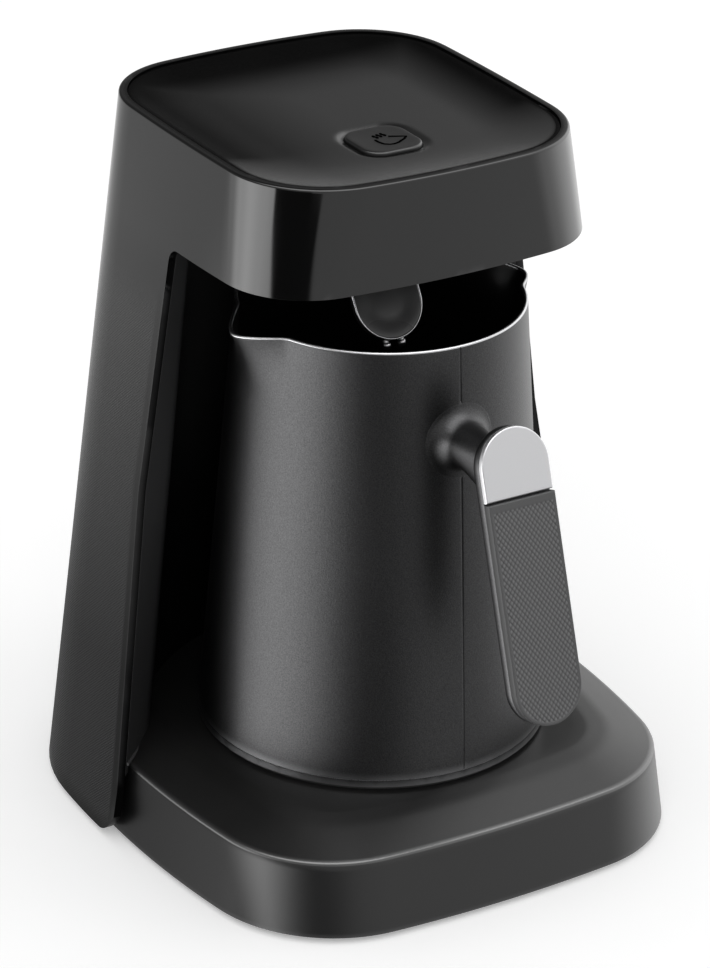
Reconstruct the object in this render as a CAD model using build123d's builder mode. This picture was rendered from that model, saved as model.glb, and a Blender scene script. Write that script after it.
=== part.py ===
"""Electric turkish coffee maker: a one-pot machine with a lift-out pot.

Millimetres. +Z is up, the front (pot and handle) faces -Y, the tower stands at +Y.
The origin is the middle of the rest plane under the feet, on the plane of symmetry x = 0.
"""
from build123d import *
from collections import namedtuple
from math import cos, radians, sin, sqrt, tan
import os

# ---- Driving dimensions ------------------------------------------------------------------

# Plan outlines: four bowed sides between corner points, then rounded corners
Outline = namedtuple("Outline", "half_w side_bow front front_bow rear rear_bow front_r rear_r")
shell_foot = Outline(75.35, 11.35, -87.6, 5.6, 87.6, 0.5, 43.4, 62.8)  # at the shell's lower edge
head_foot = Outline(57.7, 2.9, -46.2, 5.0, 69.4, 4.3, 26.8, 35.0)      # at the head's underside
head_rim = Outline(54.6, 1.5, -45.2, 4.9, 66.2, 5.0, 31.2, 30.2)       # at the top rim

# Heights and walls
foot_proud = 2.0          # rubber feet below the shell's lower edge
shell_h = 220.0           # shell, lower edge to rim
head_h = 32.3             # head band, underside to rim
wall = 2.5                # moulded walls
skin_gap = 0.1            # between pieces that are fixed together
body_gap = 0.3            # between pieces that move past each other
ledge_reach = 3.5         # ledges inside the head, beyond its wall
ledge_t = 2.0

# Base
skirt_inset = 4.3         # base skirt inside the shell's side surface
skirt_h = 23.1            # base, up to the edge of its top
base_front_low = -87.6    # skirt's front corner line at its lower edge
base_front_top = -83.3    # and at its upper edge
base_corner_low = 43.4    # front corner radii of the skirt
base_corner_top = 39.0
crown_steps = ((6.5, 2.3), (13.0, 4.5), (19.4, 5.7))  # inward from the edge, rise above it
tower_floor_drop = 3.0    # floor under the tower, below the edge of the base top
plate_t = 2.5             # bottom plate
plate_lift = 0.5          # bottom plate above the skirt's lower edge
plate_gap = 0.9           # bottom plate to the skirt's inner face
post_r = 4.0              # screw posts of the base
front_posts = (42.0, -48.0)
rear_posts = (50.0, 50.0)
foot_r = 9.0
foot_sink = 1.5           # feet let into the bottom plate
front_feet = (30.0, -68.0)
rear_feet = (40.0, 62.0)
vent_w = 2.4              # air slots in the bottom plate
vent_l = 30.0
vent_pitch = 8.0
vent_count = 5
vent_y = 38.0             # middle of the air slots

# Tower
bay_low_y = -4.5          # front edge of the tower's sides at the lower edge
bay_knee_y = 7.0          # and above the knee
bay_knee_h = 110.0        # height of the knee above the lower edge
bay_corner_r = 4.0        # upper inner corner of the bay
strip_y = 10.0            # inner end of the slanting strips
recess_low_r = 70.5       # hollow behind the pot, about the pot's axis, at the base edge
recess_top_r = 56.9       # and at the head's underside
liner_t = 2.0
lug_x = 22.0              # screw lugs inside the shell
lug_y = 72.0
lug_r = 4.5
lug_h = 18.0
rib_w = 3.0

# Pot
pot_y = -13.4             # pot's axis
seat_gap = 1.25           # lower edge of the pot above the base's flat
pot_headroom = 19.3       # rim below the head's underside
pot_foot_r = 54.1         # outer radius at the lower edge
pot_rim_r = 43.8          # and at the rim
pot_t = 1.2               # steel wall
pot_ring_h = 2.0          # visible band of the base ring
seal_t = 0.25             # dark line between the ring and the steel
pot_floor_h = 13.25       # underside of the steel floor above the lower edge
pot_floor_fillet = 6.0
spout_reach = 51.5        # tip of each spout from the pot's axis
spout_half_angle = 18.0   # flanks of a spout on the rim
spout_h = 24.0            # spout, from its lower end to the rim
spout_tip_r = 2.4
spout_root_w = 1.6        # half width of a spout at its lower end
ring_wall = 2.5
cup_rise = 1.2            # underside of the pot's base above its lower edge
cup_h = 5.0               # inner wall of the pot's base cup

# Handle
handle_w = 22.8
handle_len = 88.4
handle_tilt = 18.45       # face from upright, lower end further out
handle_top_y = -88.2      # centre of the upper round end, on the face
handle_drop = 25.5        # that centre below the pot's rim
skin_t = 1.7              # cap plate
grip_proud = 0.9          # grip pad's face above the cap plate's
core_t = 4.2
cap_len = 20.4            # cap plate, from the top end
cap_line = 0.6            # dark line under the cap plate
neck_drop = 3.9           # neck's axis below the same centre
neck_r = 6.8
neck_flare = 4.6          # fillet against the pot
gusset_w = 11.0           # web under the neck
gusset_drop = 22.0
stud_r = 4.0              # stud welded to the pot
stud_l = 11.0
handle_screw_r = 2.0
handle_head_r = 4.0
handle_head_h = 2.5
handle_seat_y = -82.8     # seat of the screw's head inside the core

# Contacts under the pot
housing_r = 12.7          # collar in the hole of the base top
housing_hole_r = 13.0
housing_flange_r = 20.0
housing_floor_h = 12.0    # floor of the housing above the shell's lower edge
bore_r = 10.3
carrier_r = 10.0
carrier_flange_r = 11.5
carrier_flange_t = 2.0
carrier_top = 0.1         # top of the carrier above the base's flat
contact_travel = 1.4      # travel of the carrier
pin_r = 1.5
pin_spots = (0.0, 4.5, -8.0)     # contact pins from the pot's axis
ring_half_w = 1.1         # half width of the contact rings in the pot
ring_t = 0.8
contact_gap = 0.1         # pins below the rings at rest
collar_rise = 0.6         # collar above the base's flat
spring_wire_r = 0.6
spring_turns = 5
gasket_r = 52.9           # seat ring on the base top
gasket_w = 2.6
flange_screw_r = 17.6     # pitch radius of the housing's screws

# Heater
heater_r = 43.0
heater_t = 3.0
element_r = 30.0
element_wire_r = 3.0
stat_r = 7.0
stat_h = 5.0
stat_x = -12.0
cup_screw_ring = 21.0     # pitch radius of the screws of the pot's base cup
cup_post_r = 4.0

# Head
tray_drop = 3.2           # tray floor below the rim
tray_t = 2.0
tray_lip = 0.6            # top of the tray's lip below the rim
tray_lip_t = 1.4
tray_fillet = 1.2
boss_r = 3.5              # bosses under the tray
front_bosses = (40.0, -32.0)
rear_bosses = (42.0, 50.0)
cable_hole_r = 7.0
cable_hole_y = 58.0

# Start button
button_w = 20.0
button_r = 6.0
button_y = -12.5
button_proud = 0.5        # top above the tray floor
button_h = 4.5
button_travel = 0.8
button_flange = 1.3       # flange wider than the cap, all round
button_flange_t = 1.2
button_stem_r = 2.0
button_stem_h = 3.0
button_fillet = 0.8

# Control board
board_w = 60.0
board_d = 44.0
board_t = 1.6
board_y = 2.0
board_post_r = 2.5
board_posts = (26.0, 18.0)       # from the board's middle
switch_w = 6.2
switch_h = 3.5
plunger_r = 1.7
plunger_h = 1.5
led_w = 3.0
led_h = 1.4
led_x = 7.0
buzzer_r = 6.0
buzzer_h = 6.5
buzzer_spot = (18.0, -2.0)
plug_size = (12.0, 6.0, 7.0)     # wire plug on the board
plug_spot = (-14.0, 17.0)

# Sensor flap
flap_y = -3.4             # hinge axis
flap_rise = 0.8           # hinge axis above the head's underside
flap_lean = 31.4          # rest angle from upright, tip forward
flap_len = 37.0
flap_w = 23.0
flap_t = 2.0
flap_root = 4.4           # wide plate starts this far from the axis
barrel_r = 2.6
barrel_l = 14.0
web_side = 1.0            # web reaches this far past the middle
hinge_pin_r = 1.2
hinge_fit = 0.05
ear_r = 3.4
ear_t = 2.0
bridge_lift = 5.5         # underside of the bracket's bridge above the axis
bridge_t = 2.0
bridge_w = 10.0
bridge_half_l = 20.0
leg_t = 5.0
pocket_half_w = 13.5      # opening in the head's underside
pocket_front = -44.5
pocket_rear = 2.5
electrode_r = 1.0
electrode_x = 2.6
electrode_top = 8.0       # upper end of the rods, from the axis
electrode_l = 38.0        # centre of the bead, from the axis
bead_r = 1.3
coil_r = 3.3              # torsion spring about the barrel
coil_wire_r = 0.35
coil_turns = 6
coil_start = 2.4

# Power parts in the tower
power_y = 64.0            # front face of the power board
power_w = 66.0
power_h = 70.0
power_low = 40.0          # lower edge above the shell's lower edge
power_t = 1.6
power_posts = (28.0, 30.0)       # from the board's middle
power_post_r = 3.0
coil_box = (26.0, 11.0, 20.0)    # transformer
coil_spot = (-14.0, 12.0)        # its middle across, and its lower side above the board's edge
relay_box = (16.0, 9.5, 20.0)
relay_spot = (14.0, 10.0)
cap_can_r = 4.5                  # smoothing capacitor
cap_can_l = 9.0
cap_can_spot = (14.0, 42.0)
terminal_box = (24.0, 8.0, 9.0)
terminal_spot = (-14.0, 38.0)
gland_h = 26.0            # cord inlet above the shell's lower edge
gland_r = 5.0
gland_bore_r = 3.2
gland_flange_r = 7.5
gland_flange_t = 1.5
gland_tail = 7.0

# Screws: shaft radius, length, head radius, head height
Screw = namedtuple("Screw", "shaft_r length head_r head_h")
base_screw = Screw(1.5, 12.0, 2.8, 1.2)
lug_screw = Screw(1.5, 12.0, 2.8, 2.0)
tray_screw = Screw(1.5, 12.0, 2.8, 1.2)
board_screw = Screw(1.2, 6.0, 2.2, 1.4)
small_screw = Screw(1.2, 4.2, 2.2, 1.4)
cup_screw = Screw(1.5, 10.4, 2.8, 1.4)
power_screw = Screw(1.2, 5.0, 2.2, 1.4)
slot_share = 0.5          # depth of a driver slot in a screw head
thread_gap = 0.05         # pilot holes round the screws

# ---- Heights from the rest plane ------------------------------------------------------------

low_z = foot_proud
head_z = low_z + shell_h - head_h
rim_z = low_z + shell_h
edge_z = low_z + skirt_h
seat_z = edge_z + crown_steps[-1][1]
tower_z = edge_z - tower_floor_drop
ceiling_z = seat_z - wall
plate_z = low_z + plate_lift
plate_top_z = plate_z + plate_t
knee_z = low_z + bay_knee_h
pot_z = seat_z + seat_gap
pot_rim_z = head_z - pot_headroom
pot_h = pot_rim_z - pot_z
cup_z = pot_z + cup_rise
tray_z = rim_z - tray_drop
tray_under_z = tray_z - tray_t
under_top_z = head_z + wall
button_z = tray_z + button_proud
button_flange_z = tray_under_z - body_gap
stem_z = button_flange_z - button_flange_t - button_stem_h
board_top_z = stem_z - skin_gap - plunger_h - switch_h
flap_z = head_z + flap_rise
handle_top_z = pot_rim_z - handle_drop
neck_z = handle_top_z - neck_drop
far = 2 * shell_h         # beyond every surface

CENTRE_UP = (Align.CENTER, Align.CENTER, Align.MIN)
CENTRE_DOWN = (Align.CENTER, Align.CENTER, Align.MAX)


# ---- Shared shapes ----------------------------------------------------------------------------

def inset(outline, gap):
    """The outline with its four sides moved in by gap."""
    return outline._replace(
        half_w=outline.half_w - gap,
        front=outline.front + gap,
        rear=outline.rear - gap,
        front_r=outline.front_r - gap,
        rear_r=outline.rear_r - gap,
    )


def outline_at(z):
    """The shell's outline at height z."""
    low, high, low_at, high_at = shell_foot, head_foot, low_z, head_z
    if z > head_z:
        low, high, low_at, high_at = head_foot, head_rim, head_z, rim_z
    share = (z - low_at) / (high_at - low_at)
    return Outline(*(a + (b - a) * share for a, b in zip(low, high)))


def section(outline, z):
    """The outline as a flat face at height z."""
    middle = (outline.front + outline.rear) / 2
    side = outline.half_w + outline.side_bow
    with BuildSketch(Plane.XY.offset(z)) as face:
        with BuildLine():
            front_left = (-outline.half_w, outline.front)
            front_right = (outline.half_w, outline.front)
            rear_left = (-outline.half_w, outline.rear)
            rear_right = (outline.half_w, outline.rear)
            ThreePointArc(front_left, (0, outline.front - outline.front_bow), front_right)
            ThreePointArc(front_right, (side, middle), rear_right)
            ThreePointArc(rear_right, (0, outline.rear + outline.rear_bow), rear_left)
            ThreePointArc(rear_left, (-side, middle), front_left)
        make_face()
        fillet(face.vertices().group_by(Axis.Y)[0], outline.front_r)
        fillet(face.vertices().group_by(Axis.Y)[-1], outline.rear_r)
    return face.sketch


def side_x(outline, y):
    """Half width of the outline at y, on its bowed side."""
    half_l = (outline.rear - outline.front) / 2
    radius = (half_l**2 + outline.side_bow**2) / (2 * outline.side_bow)
    off = y - (outline.front + outline.rear) / 2
    return outline.half_w + outline.side_bow - radius + sqrt(radius**2 - off**2)


def bay_y(z):
    """Front edge of the tower's sides at height z."""
    share = min((z - low_z) / bay_knee_h, 1.0)
    return bay_low_y + (bay_knee_y - bay_low_y) * share


def recess_r(z):
    """Radius of the hollow behind the pot at height z."""
    return recess_low_r + (recess_top_r - recess_low_r) * (z - edge_z) / (head_z - edge_z)


def tower_face(z, back, forward=0.0):
    """Plan of the liner at height z: its front line, closed off at back behind that line."""
    edge_x = side_x(inset(outline_at(z), wall + skin_gap), bay_y(z))
    radius = recess_r(z) - forward
    turn_y = strip_y - forward
    edge_y = bay_y(z) - forward
    turn_x = sqrt(radius**2 - (turn_y - pot_y) ** 2)
    with BuildSketch(Plane.XY.offset(z)) as face:
        with BuildLine():
            Polyline((-edge_x, edge_y + back), (-edge_x, edge_y), (-turn_x, turn_y))
            ThreePointArc((-turn_x, turn_y), (0, pot_y + radius), (turn_x, turn_y))
            Polyline((turn_x, turn_y), (edge_x, edge_y), (edge_x, edge_y + back))
            inner = sqrt((radius + back) ** 2 - (turn_y + back - pot_y) ** 2)
            Line((edge_x, edge_y + back), (inner, turn_y + back))
            ThreePointArc((inner, turn_y + back), (0, pot_y + radius + back), (-inner, turn_y + back))
            Line((-inner, turn_y + back), (-edge_x, edge_y + back))
        make_face()
    return face.sketch


def tower_block(low, high, forward):
    """Everything behind the liner's front line, between two heights."""
    with BuildPart() as block:
        for z in (low, high):
            radius = recess_r(z) - forward
            turn_y = strip_y - forward
            edge_y = bay_y(z) - forward
            turn_x = sqrt(radius**2 - (turn_y - pot_y) ** 2)
            edge_x = side_x(inset(outline_at(z), wall + skin_gap), bay_y(z))
            slope = (turn_y - edge_y) / (edge_x - turn_x)
            wide_x = edge_x + 2 * wall
            wide_y = edge_y - slope * 2 * wall
            with BuildSketch(Plane.XY.offset(z)):
                with BuildLine():
                    ThreePointArc((-turn_x, turn_y), (0, pot_y + radius), (turn_x, turn_y))
                    Polyline((turn_x, turn_y), (wide_x, wide_y), (wide_x, far), (-wide_x, far),
                             (-wide_x, wide_y), (-turn_x, turn_y))
                make_face()
        loft(ruled=True)
    return block.part


def pan_screw(size):
    """A slotted screw pointing up, the underside of its head at the origin."""
    with BuildPart() as screw:
        Cylinder(size.shaft_r, size.length, align=CENTRE_UP)
        Cylinder(size.head_r, size.head_h, align=CENTRE_DOWN)
        with BuildSketch(Plane.XY.offset(-size.head_h)):
            Rectangle(1.6 * size.head_r, slot_share * size.shaft_r)
        extrude(amount=slot_share * size.head_h, mode=Mode.SUBTRACT)
    return screw.part


def both_sides(*spots):
    """Each spot with its mirror image across x = 0."""
    return [(side * x, y) for x, y in spots for side in (-1, 1)]


def pot_r(z):
    """Outer radius of the pot at height z."""
    return pot_foot_r + (pot_rim_r - pot_foot_r) * (z - pot_z) / pot_h


# ---- Shell -------------------------------------------------------------------------------------

with BuildPart() as outer_shell:
    loft([section(outline_at(z), z) for z in (low_z, head_z, rim_z)], ruled=True)
    loft([section(inset(outline_at(z), wall), z) for z in (low_z, head_z, rim_z)],
         ruled=True, mode=Mode.SUBTRACT)
    for ledge_z in (under_top_z, tray_under_z - ledge_t):
        outline = outline_at(ledge_z + ledge_t)
        with BuildSketch(Plane.XY.offset(ledge_z)):
            add(section(inset(outline, wall / 2), 0))
            add(section(inset(outline, wall + ledge_reach), 0), mode=Mode.SUBTRACT)
        extrude(amount=ledge_t)
    rib_end = outline_at(tower_z + lug_h).rear - wall / 2
    with BuildSketch(Plane.XY.offset(tower_z)):
        with Locations(*both_sides((lug_x, lug_y))):
            Circle(lug_r)
        with Locations(*both_sides((lug_x, (lug_y + rib_end) / 2))):
            Rectangle(rib_w, rib_end - lug_y)
    extrude(amount=lug_h)
    with Locations(*[(x, y, tower_z) for x, y in both_sides((lug_x, lug_y))]):
        Cylinder(lug_screw.shaft_r + thread_gap, lug_screw.length, align=CENTRE_UP,
                 mode=Mode.SUBTRACT)
    with BuildSketch(Plane.YZ) as bay:
        with BuildLine():
            Polyline((-far, -far), (bay_low_y, -far), (bay_low_y, low_z), (bay_knee_y, knee_z),
                     (bay_knee_y, head_z), (-far, head_z), close=True)
        make_face()
        corner = bay.vertices().sort_by_distance((bay_knee_y, head_z))[0]
        fillet(corner, bay_corner_r)
    extrude(amount=far, both=True, mode=Mode.SUBTRACT)
    with BuildSketch(Plane.XZ.offset(-far)):
        with Locations((0, low_z + gland_h)):
            Circle(gland_r + skin_gap)
    extrude(amount=far - lug_y, mode=Mode.SUBTRACT)

# ---- Head ---------------------------------------------------------------------------------------

lip_z = rim_z - tray_lip
with BuildPart() as top_tray:
    loft([section(inset(outline_at(z), wall + skin_gap), z) for z in (tray_under_z, lip_z)],
         ruled=True)
    loft([section(inset(outline_at(z), wall + skin_gap + tray_lip_t), z)
          for z in (tray_z, lip_z)], ruled=True, mode=Mode.SUBTRACT)
    fillet(top_tray.faces().filter_by(Plane.XY).sort_by(Axis.Z)[-2].edges(), tray_fillet)
    with BuildSketch(Plane.XY.offset(tray_under_z)):
        with Locations((0, button_y)):
            RectangleRounded(button_w + 2 * body_gap, button_w + 2 * body_gap,
                             button_r + body_gap)
    extrude(amount=far, mode=Mode.SUBTRACT)
    with BuildSketch(Plane.XY.offset(under_top_z)):
        with Locations(*both_sides(front_bosses, rear_bosses)):
            Circle(boss_r)
    extrude(amount=tray_under_z - under_top_z)
    board_spots = [(x, board_y + y) for x, y in
                   both_sides(board_posts, (board_posts[0], -board_posts[1]))]
    with BuildSketch(Plane.XY.offset(board_top_z)):
        with Locations(*board_spots):
            Circle(board_post_r)
    extrude(amount=tray_under_z - board_top_z)
    with Locations(*[(x, y, under_top_z) for x, y in both_sides(front_bosses, rear_bosses)]):
        Cylinder(tray_screw.shaft_r + thread_gap, tray_screw.length, align=CENTRE_UP,
                 mode=Mode.SUBTRACT)
    with Locations(*[(x, y, board_top_z) for x, y in board_spots]):
        Cylinder(board_screw.shaft_r + thread_gap, board_screw.length, align=CENTRE_UP,
                 mode=Mode.SUBTRACT)

with BuildPart() as head_underside:
    with BuildSketch(Plane.XY.offset(head_z)):
        add(section(inset(outline_at(under_top_z), wall + skin_gap), 0))
        with Locations((0, (pocket_front + pocket_rear) / 2)):
            Rectangle(2 * pocket_half_w, pocket_rear - pocket_front, mode=Mode.SUBTRACT)
        with Locations((0, cable_hole_y)):
            Circle(cable_hole_r, mode=Mode.SUBTRACT)
        with Locations(*both_sides(front_bosses, rear_bosses)):
            Circle(tray_screw.shaft_r + thread_gap, mode=Mode.SUBTRACT)
    extrude(amount=wall)
    with Locations(*[(x, y, head_z) for x, y in both_sides(front_bosses, rear_bosses)]):
        Cylinder(tray_screw.head_r + thread_gap, tray_screw.head_h, align=CENTRE_UP,
                 mode=Mode.SUBTRACT)
    with Locations(*[(x, flap_y, under_top_z) for x in
                     (leg_t / 2 - bridge_half_l, bridge_half_l - leg_t / 2)]):
        Cylinder(small_screw.shaft_r + thread_gap, wall, align=CENTRE_DOWN, mode=Mode.SUBTRACT)

with BuildPart() as tray_screws:
    with Locations(*[(x, y, head_z + tray_screw.head_h)
                     for x, y in both_sides(front_bosses, rear_bosses)]):
        add(pan_screw(tray_screw))

# ---- Start button and control board --------------------------------------------------------------

with BuildPart() as start_button:
    with BuildSketch(Plane.XY.offset(button_z - button_h)):
        with Locations((0, button_y)):
            RectangleRounded(button_w, button_w, button_r)
    extrude(amount=button_h)
    fillet(start_button.faces().sort_by(Axis.Z)[-1].edges(), button_fillet)
    with BuildSketch(Plane.XY.offset(button_flange_z)):
        with Locations((0, button_y)):
            RectangleRounded(button_w + 2 * button_flange, button_w + 2 * button_flange,
                             button_r + button_flange)
    extrude(amount=-button_flange_t)
    with Locations((0, button_y, stem_z)):
        Cylinder(button_stem_r, button_stem_h + button_flange_t, align=CENTRE_UP)

with BuildPart() as control_board:
    with Locations((0, board_y, board_top_z)):
        Box(board_w, board_d, board_t, align=CENTRE_DOWN)
    with Locations(*[(x, y, board_top_z) for x, y in board_spots]):
        Cylinder(board_screw.shaft_r + thread_gap, board_t, align=CENTRE_DOWN,
                 mode=Mode.SUBTRACT)

with BuildPart() as board_screws:
    with Locations(*[(x, y, board_top_z - board_t) for x, y in board_spots]):
        add(pan_screw(board_screw))

with BuildPart() as tact_switch:
    with Locations((0, button_y, board_top_z)):
        Box(switch_w, switch_w, switch_h, align=CENTRE_UP)
    with Locations((0, button_y, board_top_z + switch_h)):
        Cylinder(plunger_r + body_gap, button_travel + body_gap, align=CENTRE_DOWN,
                 mode=Mode.SUBTRACT)

with BuildPart() as switch_plunger:
    with Locations((0, button_y, stem_z - skin_gap)):
        Cylinder(plunger_r, plunger_h, align=CENTRE_DOWN)

with BuildPart() as button_leds:
    with Locations(*[(x, button_y, board_top_z) for x in (-led_x, led_x)]):
        Box(led_w, led_w, led_h, align=CENTRE_UP)

with BuildPart() as buzzer:
    with Locations((*buzzer_spot, board_top_z)):
        Cylinder(buzzer_r, buzzer_h, align=CENTRE_UP)
        Cylinder(buzzer_r / 5, buzzer_h, align=CENTRE_UP, mode=Mode.SUBTRACT)

with BuildPart() as board_plug:
    with Locations((*plug_spot, board_top_z)):
        Box(*plug_size, align=CENTRE_UP)

# ---- Sensor flap ---------------------------------------------------------------------------------

lean = radians(flap_lean)
flap_plane = Plane(origin=(0, flap_y, flap_z), x_dir=(1, 0, 0), z_dir=(0, -cos(lean), sin(lean)))

with BuildPart() as sensor_flap:
    with BuildSketch(flap_plane.offset(-flap_t / 2)):
        round_y = flap_w / 2 - flap_len
        with Locations((0, round_y)):
            Circle(flap_w / 2)
        with Locations((0, (round_y - flap_root) / 2)):
            Rectangle(flap_w, -flap_root - round_y)
        with Locations(((web_side - barrel_l / 2) / 2, -flap_root / 2)):
            Rectangle(web_side + barrel_l / 2, 2 * flap_t + flap_root - barrel_r)
    extrude(amount=flap_t)
    with Locations((0, flap_y, flap_z)):
        Cylinder(barrel_r, barrel_l, rotation=(0, 90, 0))
        Cylinder(hinge_pin_r + hinge_fit, barrel_l, rotation=(0, 90, 0), mode=Mode.SUBTRACT)

with BuildPart() as sensor_electrodes:
    rod_plane = flap_plane.offset(-flap_t / 2 - electrode_r)
    with Locations(*[rod_plane.from_local_coords(Vector(x, -electrode_l, 0))
                     for x in (-electrode_x, electrode_x)]):
        Sphere(bead_r)
    with BuildSketch(Plane(origin=rod_plane.from_local_coords(Vector(0, -electrode_l, 0)),
                           x_dir=(1, 0, 0), z_dir=rod_plane.y_dir)):
        with Locations((-electrode_x, 0), (electrode_x, 0)):
            Circle(electrode_r)
    extrude(amount=electrode_l - electrode_top)

pin_l = barrel_l + 2 * (body_gap + ear_t)
with BuildPart() as hinge_pin:
    with Locations((0, flap_y, flap_z)):
        Cylinder(hinge_pin_r, pin_l, rotation=(0, 90, 0))

bridge_z = flap_z + bridge_lift
with BuildPart() as flap_bracket:
    with Locations((0, flap_y, bridge_z)):
        Box(2 * bridge_half_l, bridge_w, bridge_t, align=CENTRE_UP)
    with Locations(*[(x, flap_y, under_top_z) for x in
                     (leg_t / 2 - bridge_half_l, bridge_half_l - leg_t / 2)]):
        Box(leg_t, bridge_w, bridge_z - under_top_z, align=CENTRE_UP)
        Cylinder(small_screw.shaft_r + thread_gap, far, mode=Mode.SUBTRACT)
    for side in (-1, 1):
        ear_plane = Plane.YZ.offset(side * (barrel_l / 2 + body_gap + ear_t / 2))
        with BuildSketch(ear_plane):
            with Locations((flap_y, flap_z)):
                Circle(ear_r)
            with Locations((flap_y, (flap_z + bridge_z) / 2)):
                Rectangle(2 * ear_r, bridge_lift)
            with Locations((flap_y, flap_z)):
                Circle(hinge_pin_r + thread_gap, mode=Mode.SUBTRACT)
        extrude(amount=ear_t / 2, both=True)

with BuildPart() as bracket_screws:
    with Locations(*[(x, flap_y, bridge_z + bridge_t) for x in
                     (leg_t / 2 - bridge_half_l, bridge_half_l - leg_t / 2)]):
        add(pan_screw(small_screw._replace(length=bridge_z + bridge_t - head_z - skin_gap)),
            rotation=(180, 0, 0))

coil_pitch = 1.8 * coil_wire_r
with BuildPart() as flap_spring:
    for turn in range(coil_turns):
        with Locations((coil_start + turn * coil_pitch, flap_y, flap_z)):
            Torus(coil_r, coil_wire_r, rotation=(0, 90, 0))
    with Locations((coil_start, flap_y, flap_z + coil_r)):
        Cylinder(coil_wire_r, bridge_lift - coil_r, align=CENTRE_UP)

# ---- Tower liner and power parts ------------------------------------------------------------------

power_mid_z = low_z + power_low + power_h / 2
power_spots = [(x, power_mid_z + z) for x, z in
               both_sides(power_posts, (power_posts[0], -power_posts[1]))]
power_back = Plane.XZ.offset(-power_y)        # front face of the power board, normal to -Y

with BuildPart() as bay_liner:
    loft([tower_face(z, liner_t) for z in (tower_z, knee_z, head_z)], ruled=True)
    with BuildSketch(power_back):
        with Locations(*power_spots):
            Circle(power_post_r)
    extrude(until=Until.NEXT)
    with BuildSketch(power_back):
        with Locations(*power_spots):
            Circle(power_screw.shaft_r + thread_gap)
    extrude(amount=power_screw.length, mode=Mode.SUBTRACT)

with BuildPart() as power_board:
    with Locations((0, power_y, power_mid_z)):
        Box(power_w, power_t, power_h, align=(Align.CENTER, Align.MIN, Align.CENTER))
    with BuildSketch(power_back):
        with Locations(*power_spots):
            Circle(power_screw.shaft_r + thread_gap)
    extrude(amount=-power_t, mode=Mode.SUBTRACT)

with BuildPart() as power_board_screws:
    with Locations(*[(x, power_y + power_t, z) for x, z in power_spots]):
        add(pan_screw(power_screw), rotation=(90, 0, 0))

board_back_y = power_y + power_t
board_low_z = low_z + power_low
CENTRE_BACK = (Align.CENTER, Align.MIN, Align.MIN)

with BuildPart() as transformer:
    with Locations((coil_spot[0], board_back_y, board_low_z + coil_spot[1])):
        Box(*coil_box, align=CENTRE_BACK)
    fillet(transformer.edges().filter_by(Axis.Y), coil_box[1] / 8)

with BuildPart() as relay:
    with Locations((relay_spot[0], board_back_y, board_low_z + relay_spot[1])):
        Box(*relay_box, align=CENTRE_BACK)

with BuildPart() as smoothing_capacitor:
    with BuildSketch(Plane.XZ.offset(-board_back_y)):
        with Locations((cap_can_spot[0], board_low_z + cap_can_spot[1])):
            Circle(cap_can_r)
    extrude(amount=-cap_can_l)

with BuildPart() as terminal_block:
    with Locations((terminal_spot[0], board_back_y, board_low_z + terminal_spot[1])):
        Box(*terminal_box, align=CENTRE_BACK)

gland_z = low_z + gland_h
wall_out_y = outline_at(gland_z - gland_flange_r).rear + outline_at(gland_z).rear_bow
wall_in_y = outline_at(gland_z + gland_flange_r).rear - wall
with BuildPart() as inlet_gland:
    with BuildSketch(Plane.XZ.offset(-wall_out_y - skin_gap)):
        with Locations((0, gland_z)):
            Circle(gland_flange_r)
    extrude(amount=-gland_flange_t)
    with BuildSketch(Plane.XZ.offset(-wall_out_y - skin_gap)):
        with Locations((0, gland_z)):
            Circle(gland_r)
    extrude(amount=wall_out_y + skin_gap - wall_in_y + skin_gap)
    with BuildSketch(Plane.XZ.offset(-wall_in_y + skin_gap)):
        with Locations((0, gland_z)):
            Circle(gland_r + 2 * skin_gap)
    extrude(amount=gland_tail)
    with BuildSketch(Plane.XZ):
        with Locations((0, gland_z)):
            Circle(gland_bore_r)
    extrude(amount=-far, mode=Mode.SUBTRACT)

# ---- Base -----------------------------------------------------------------------------------------

base_low = inset(shell_foot, skirt_inset)._replace(front=base_front_low, front_r=base_corner_low)
base_edge = inset(outline_at(edge_z), skirt_inset)._replace(
    front=base_front_top, front_r=base_corner_top)

with BuildPart() as base_hollow:
    loft([section(inset(base_low, wall), low_z),
          section(inset(base_edge, wall), edge_z - wall),
          section(inset(base_edge, wall + crown_steps[-1][0]), ceiling_z)], ruled=True)
    add(tower_block(tower_z - wall, rim_z, wall), mode=Mode.SUBTRACT)

with BuildPart() as base_cover:
    loft([section(base_low, low_z), section(base_edge, edge_z)], ruled=True)
    loft([section(base_edge, edge_z)]
         + [section(inset(base_edge, step), edge_z + rise) for step, rise in crown_steps])
    add(base_hollow.part, mode=Mode.SUBTRACT)
    add(tower_block(tower_z, rim_z, 0.0), mode=Mode.SUBTRACT)
    with BuildSketch(Plane.XY.offset(plate_top_z)):
        with Locations(*both_sides(front_posts)):
            Circle(post_r)
    extrude(amount=seat_z - wall / 2 - plate_top_z)
    with BuildSketch(Plane.XY.offset(plate_top_z)):
        with Locations(*both_sides(rear_posts)):
            Circle(post_r)
    extrude(amount=tower_z - wall / 2 - plate_top_z)
    with Locations(*[(x, y, plate_top_z) for x, y in both_sides(front_posts, rear_posts)]):
        Cylinder(base_screw.shaft_r + thread_gap, base_screw.length, align=CENTRE_UP,
                 mode=Mode.SUBTRACT)
    with Locations(*[(x, y, tower_z) for x, y in both_sides((lug_x, lug_y))]):
        Cylinder(lug_screw.shaft_r + thread_gap, wall, align=CENTRE_DOWN, mode=Mode.SUBTRACT)
    with Locations((0, pot_y, seat_z)):
        Cylinder(housing_hole_r, 2 * wall, mode=Mode.SUBTRACT)
    with Locations((0, pot_y, ceiling_z)):
        with PolarLocations(flange_screw_r, 3):
            Cylinder(small_screw.shaft_r + thread_gap, small_screw.length - wall + skin_gap,
                     align=CENTRE_UP, mode=Mode.SUBTRACT)

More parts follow.
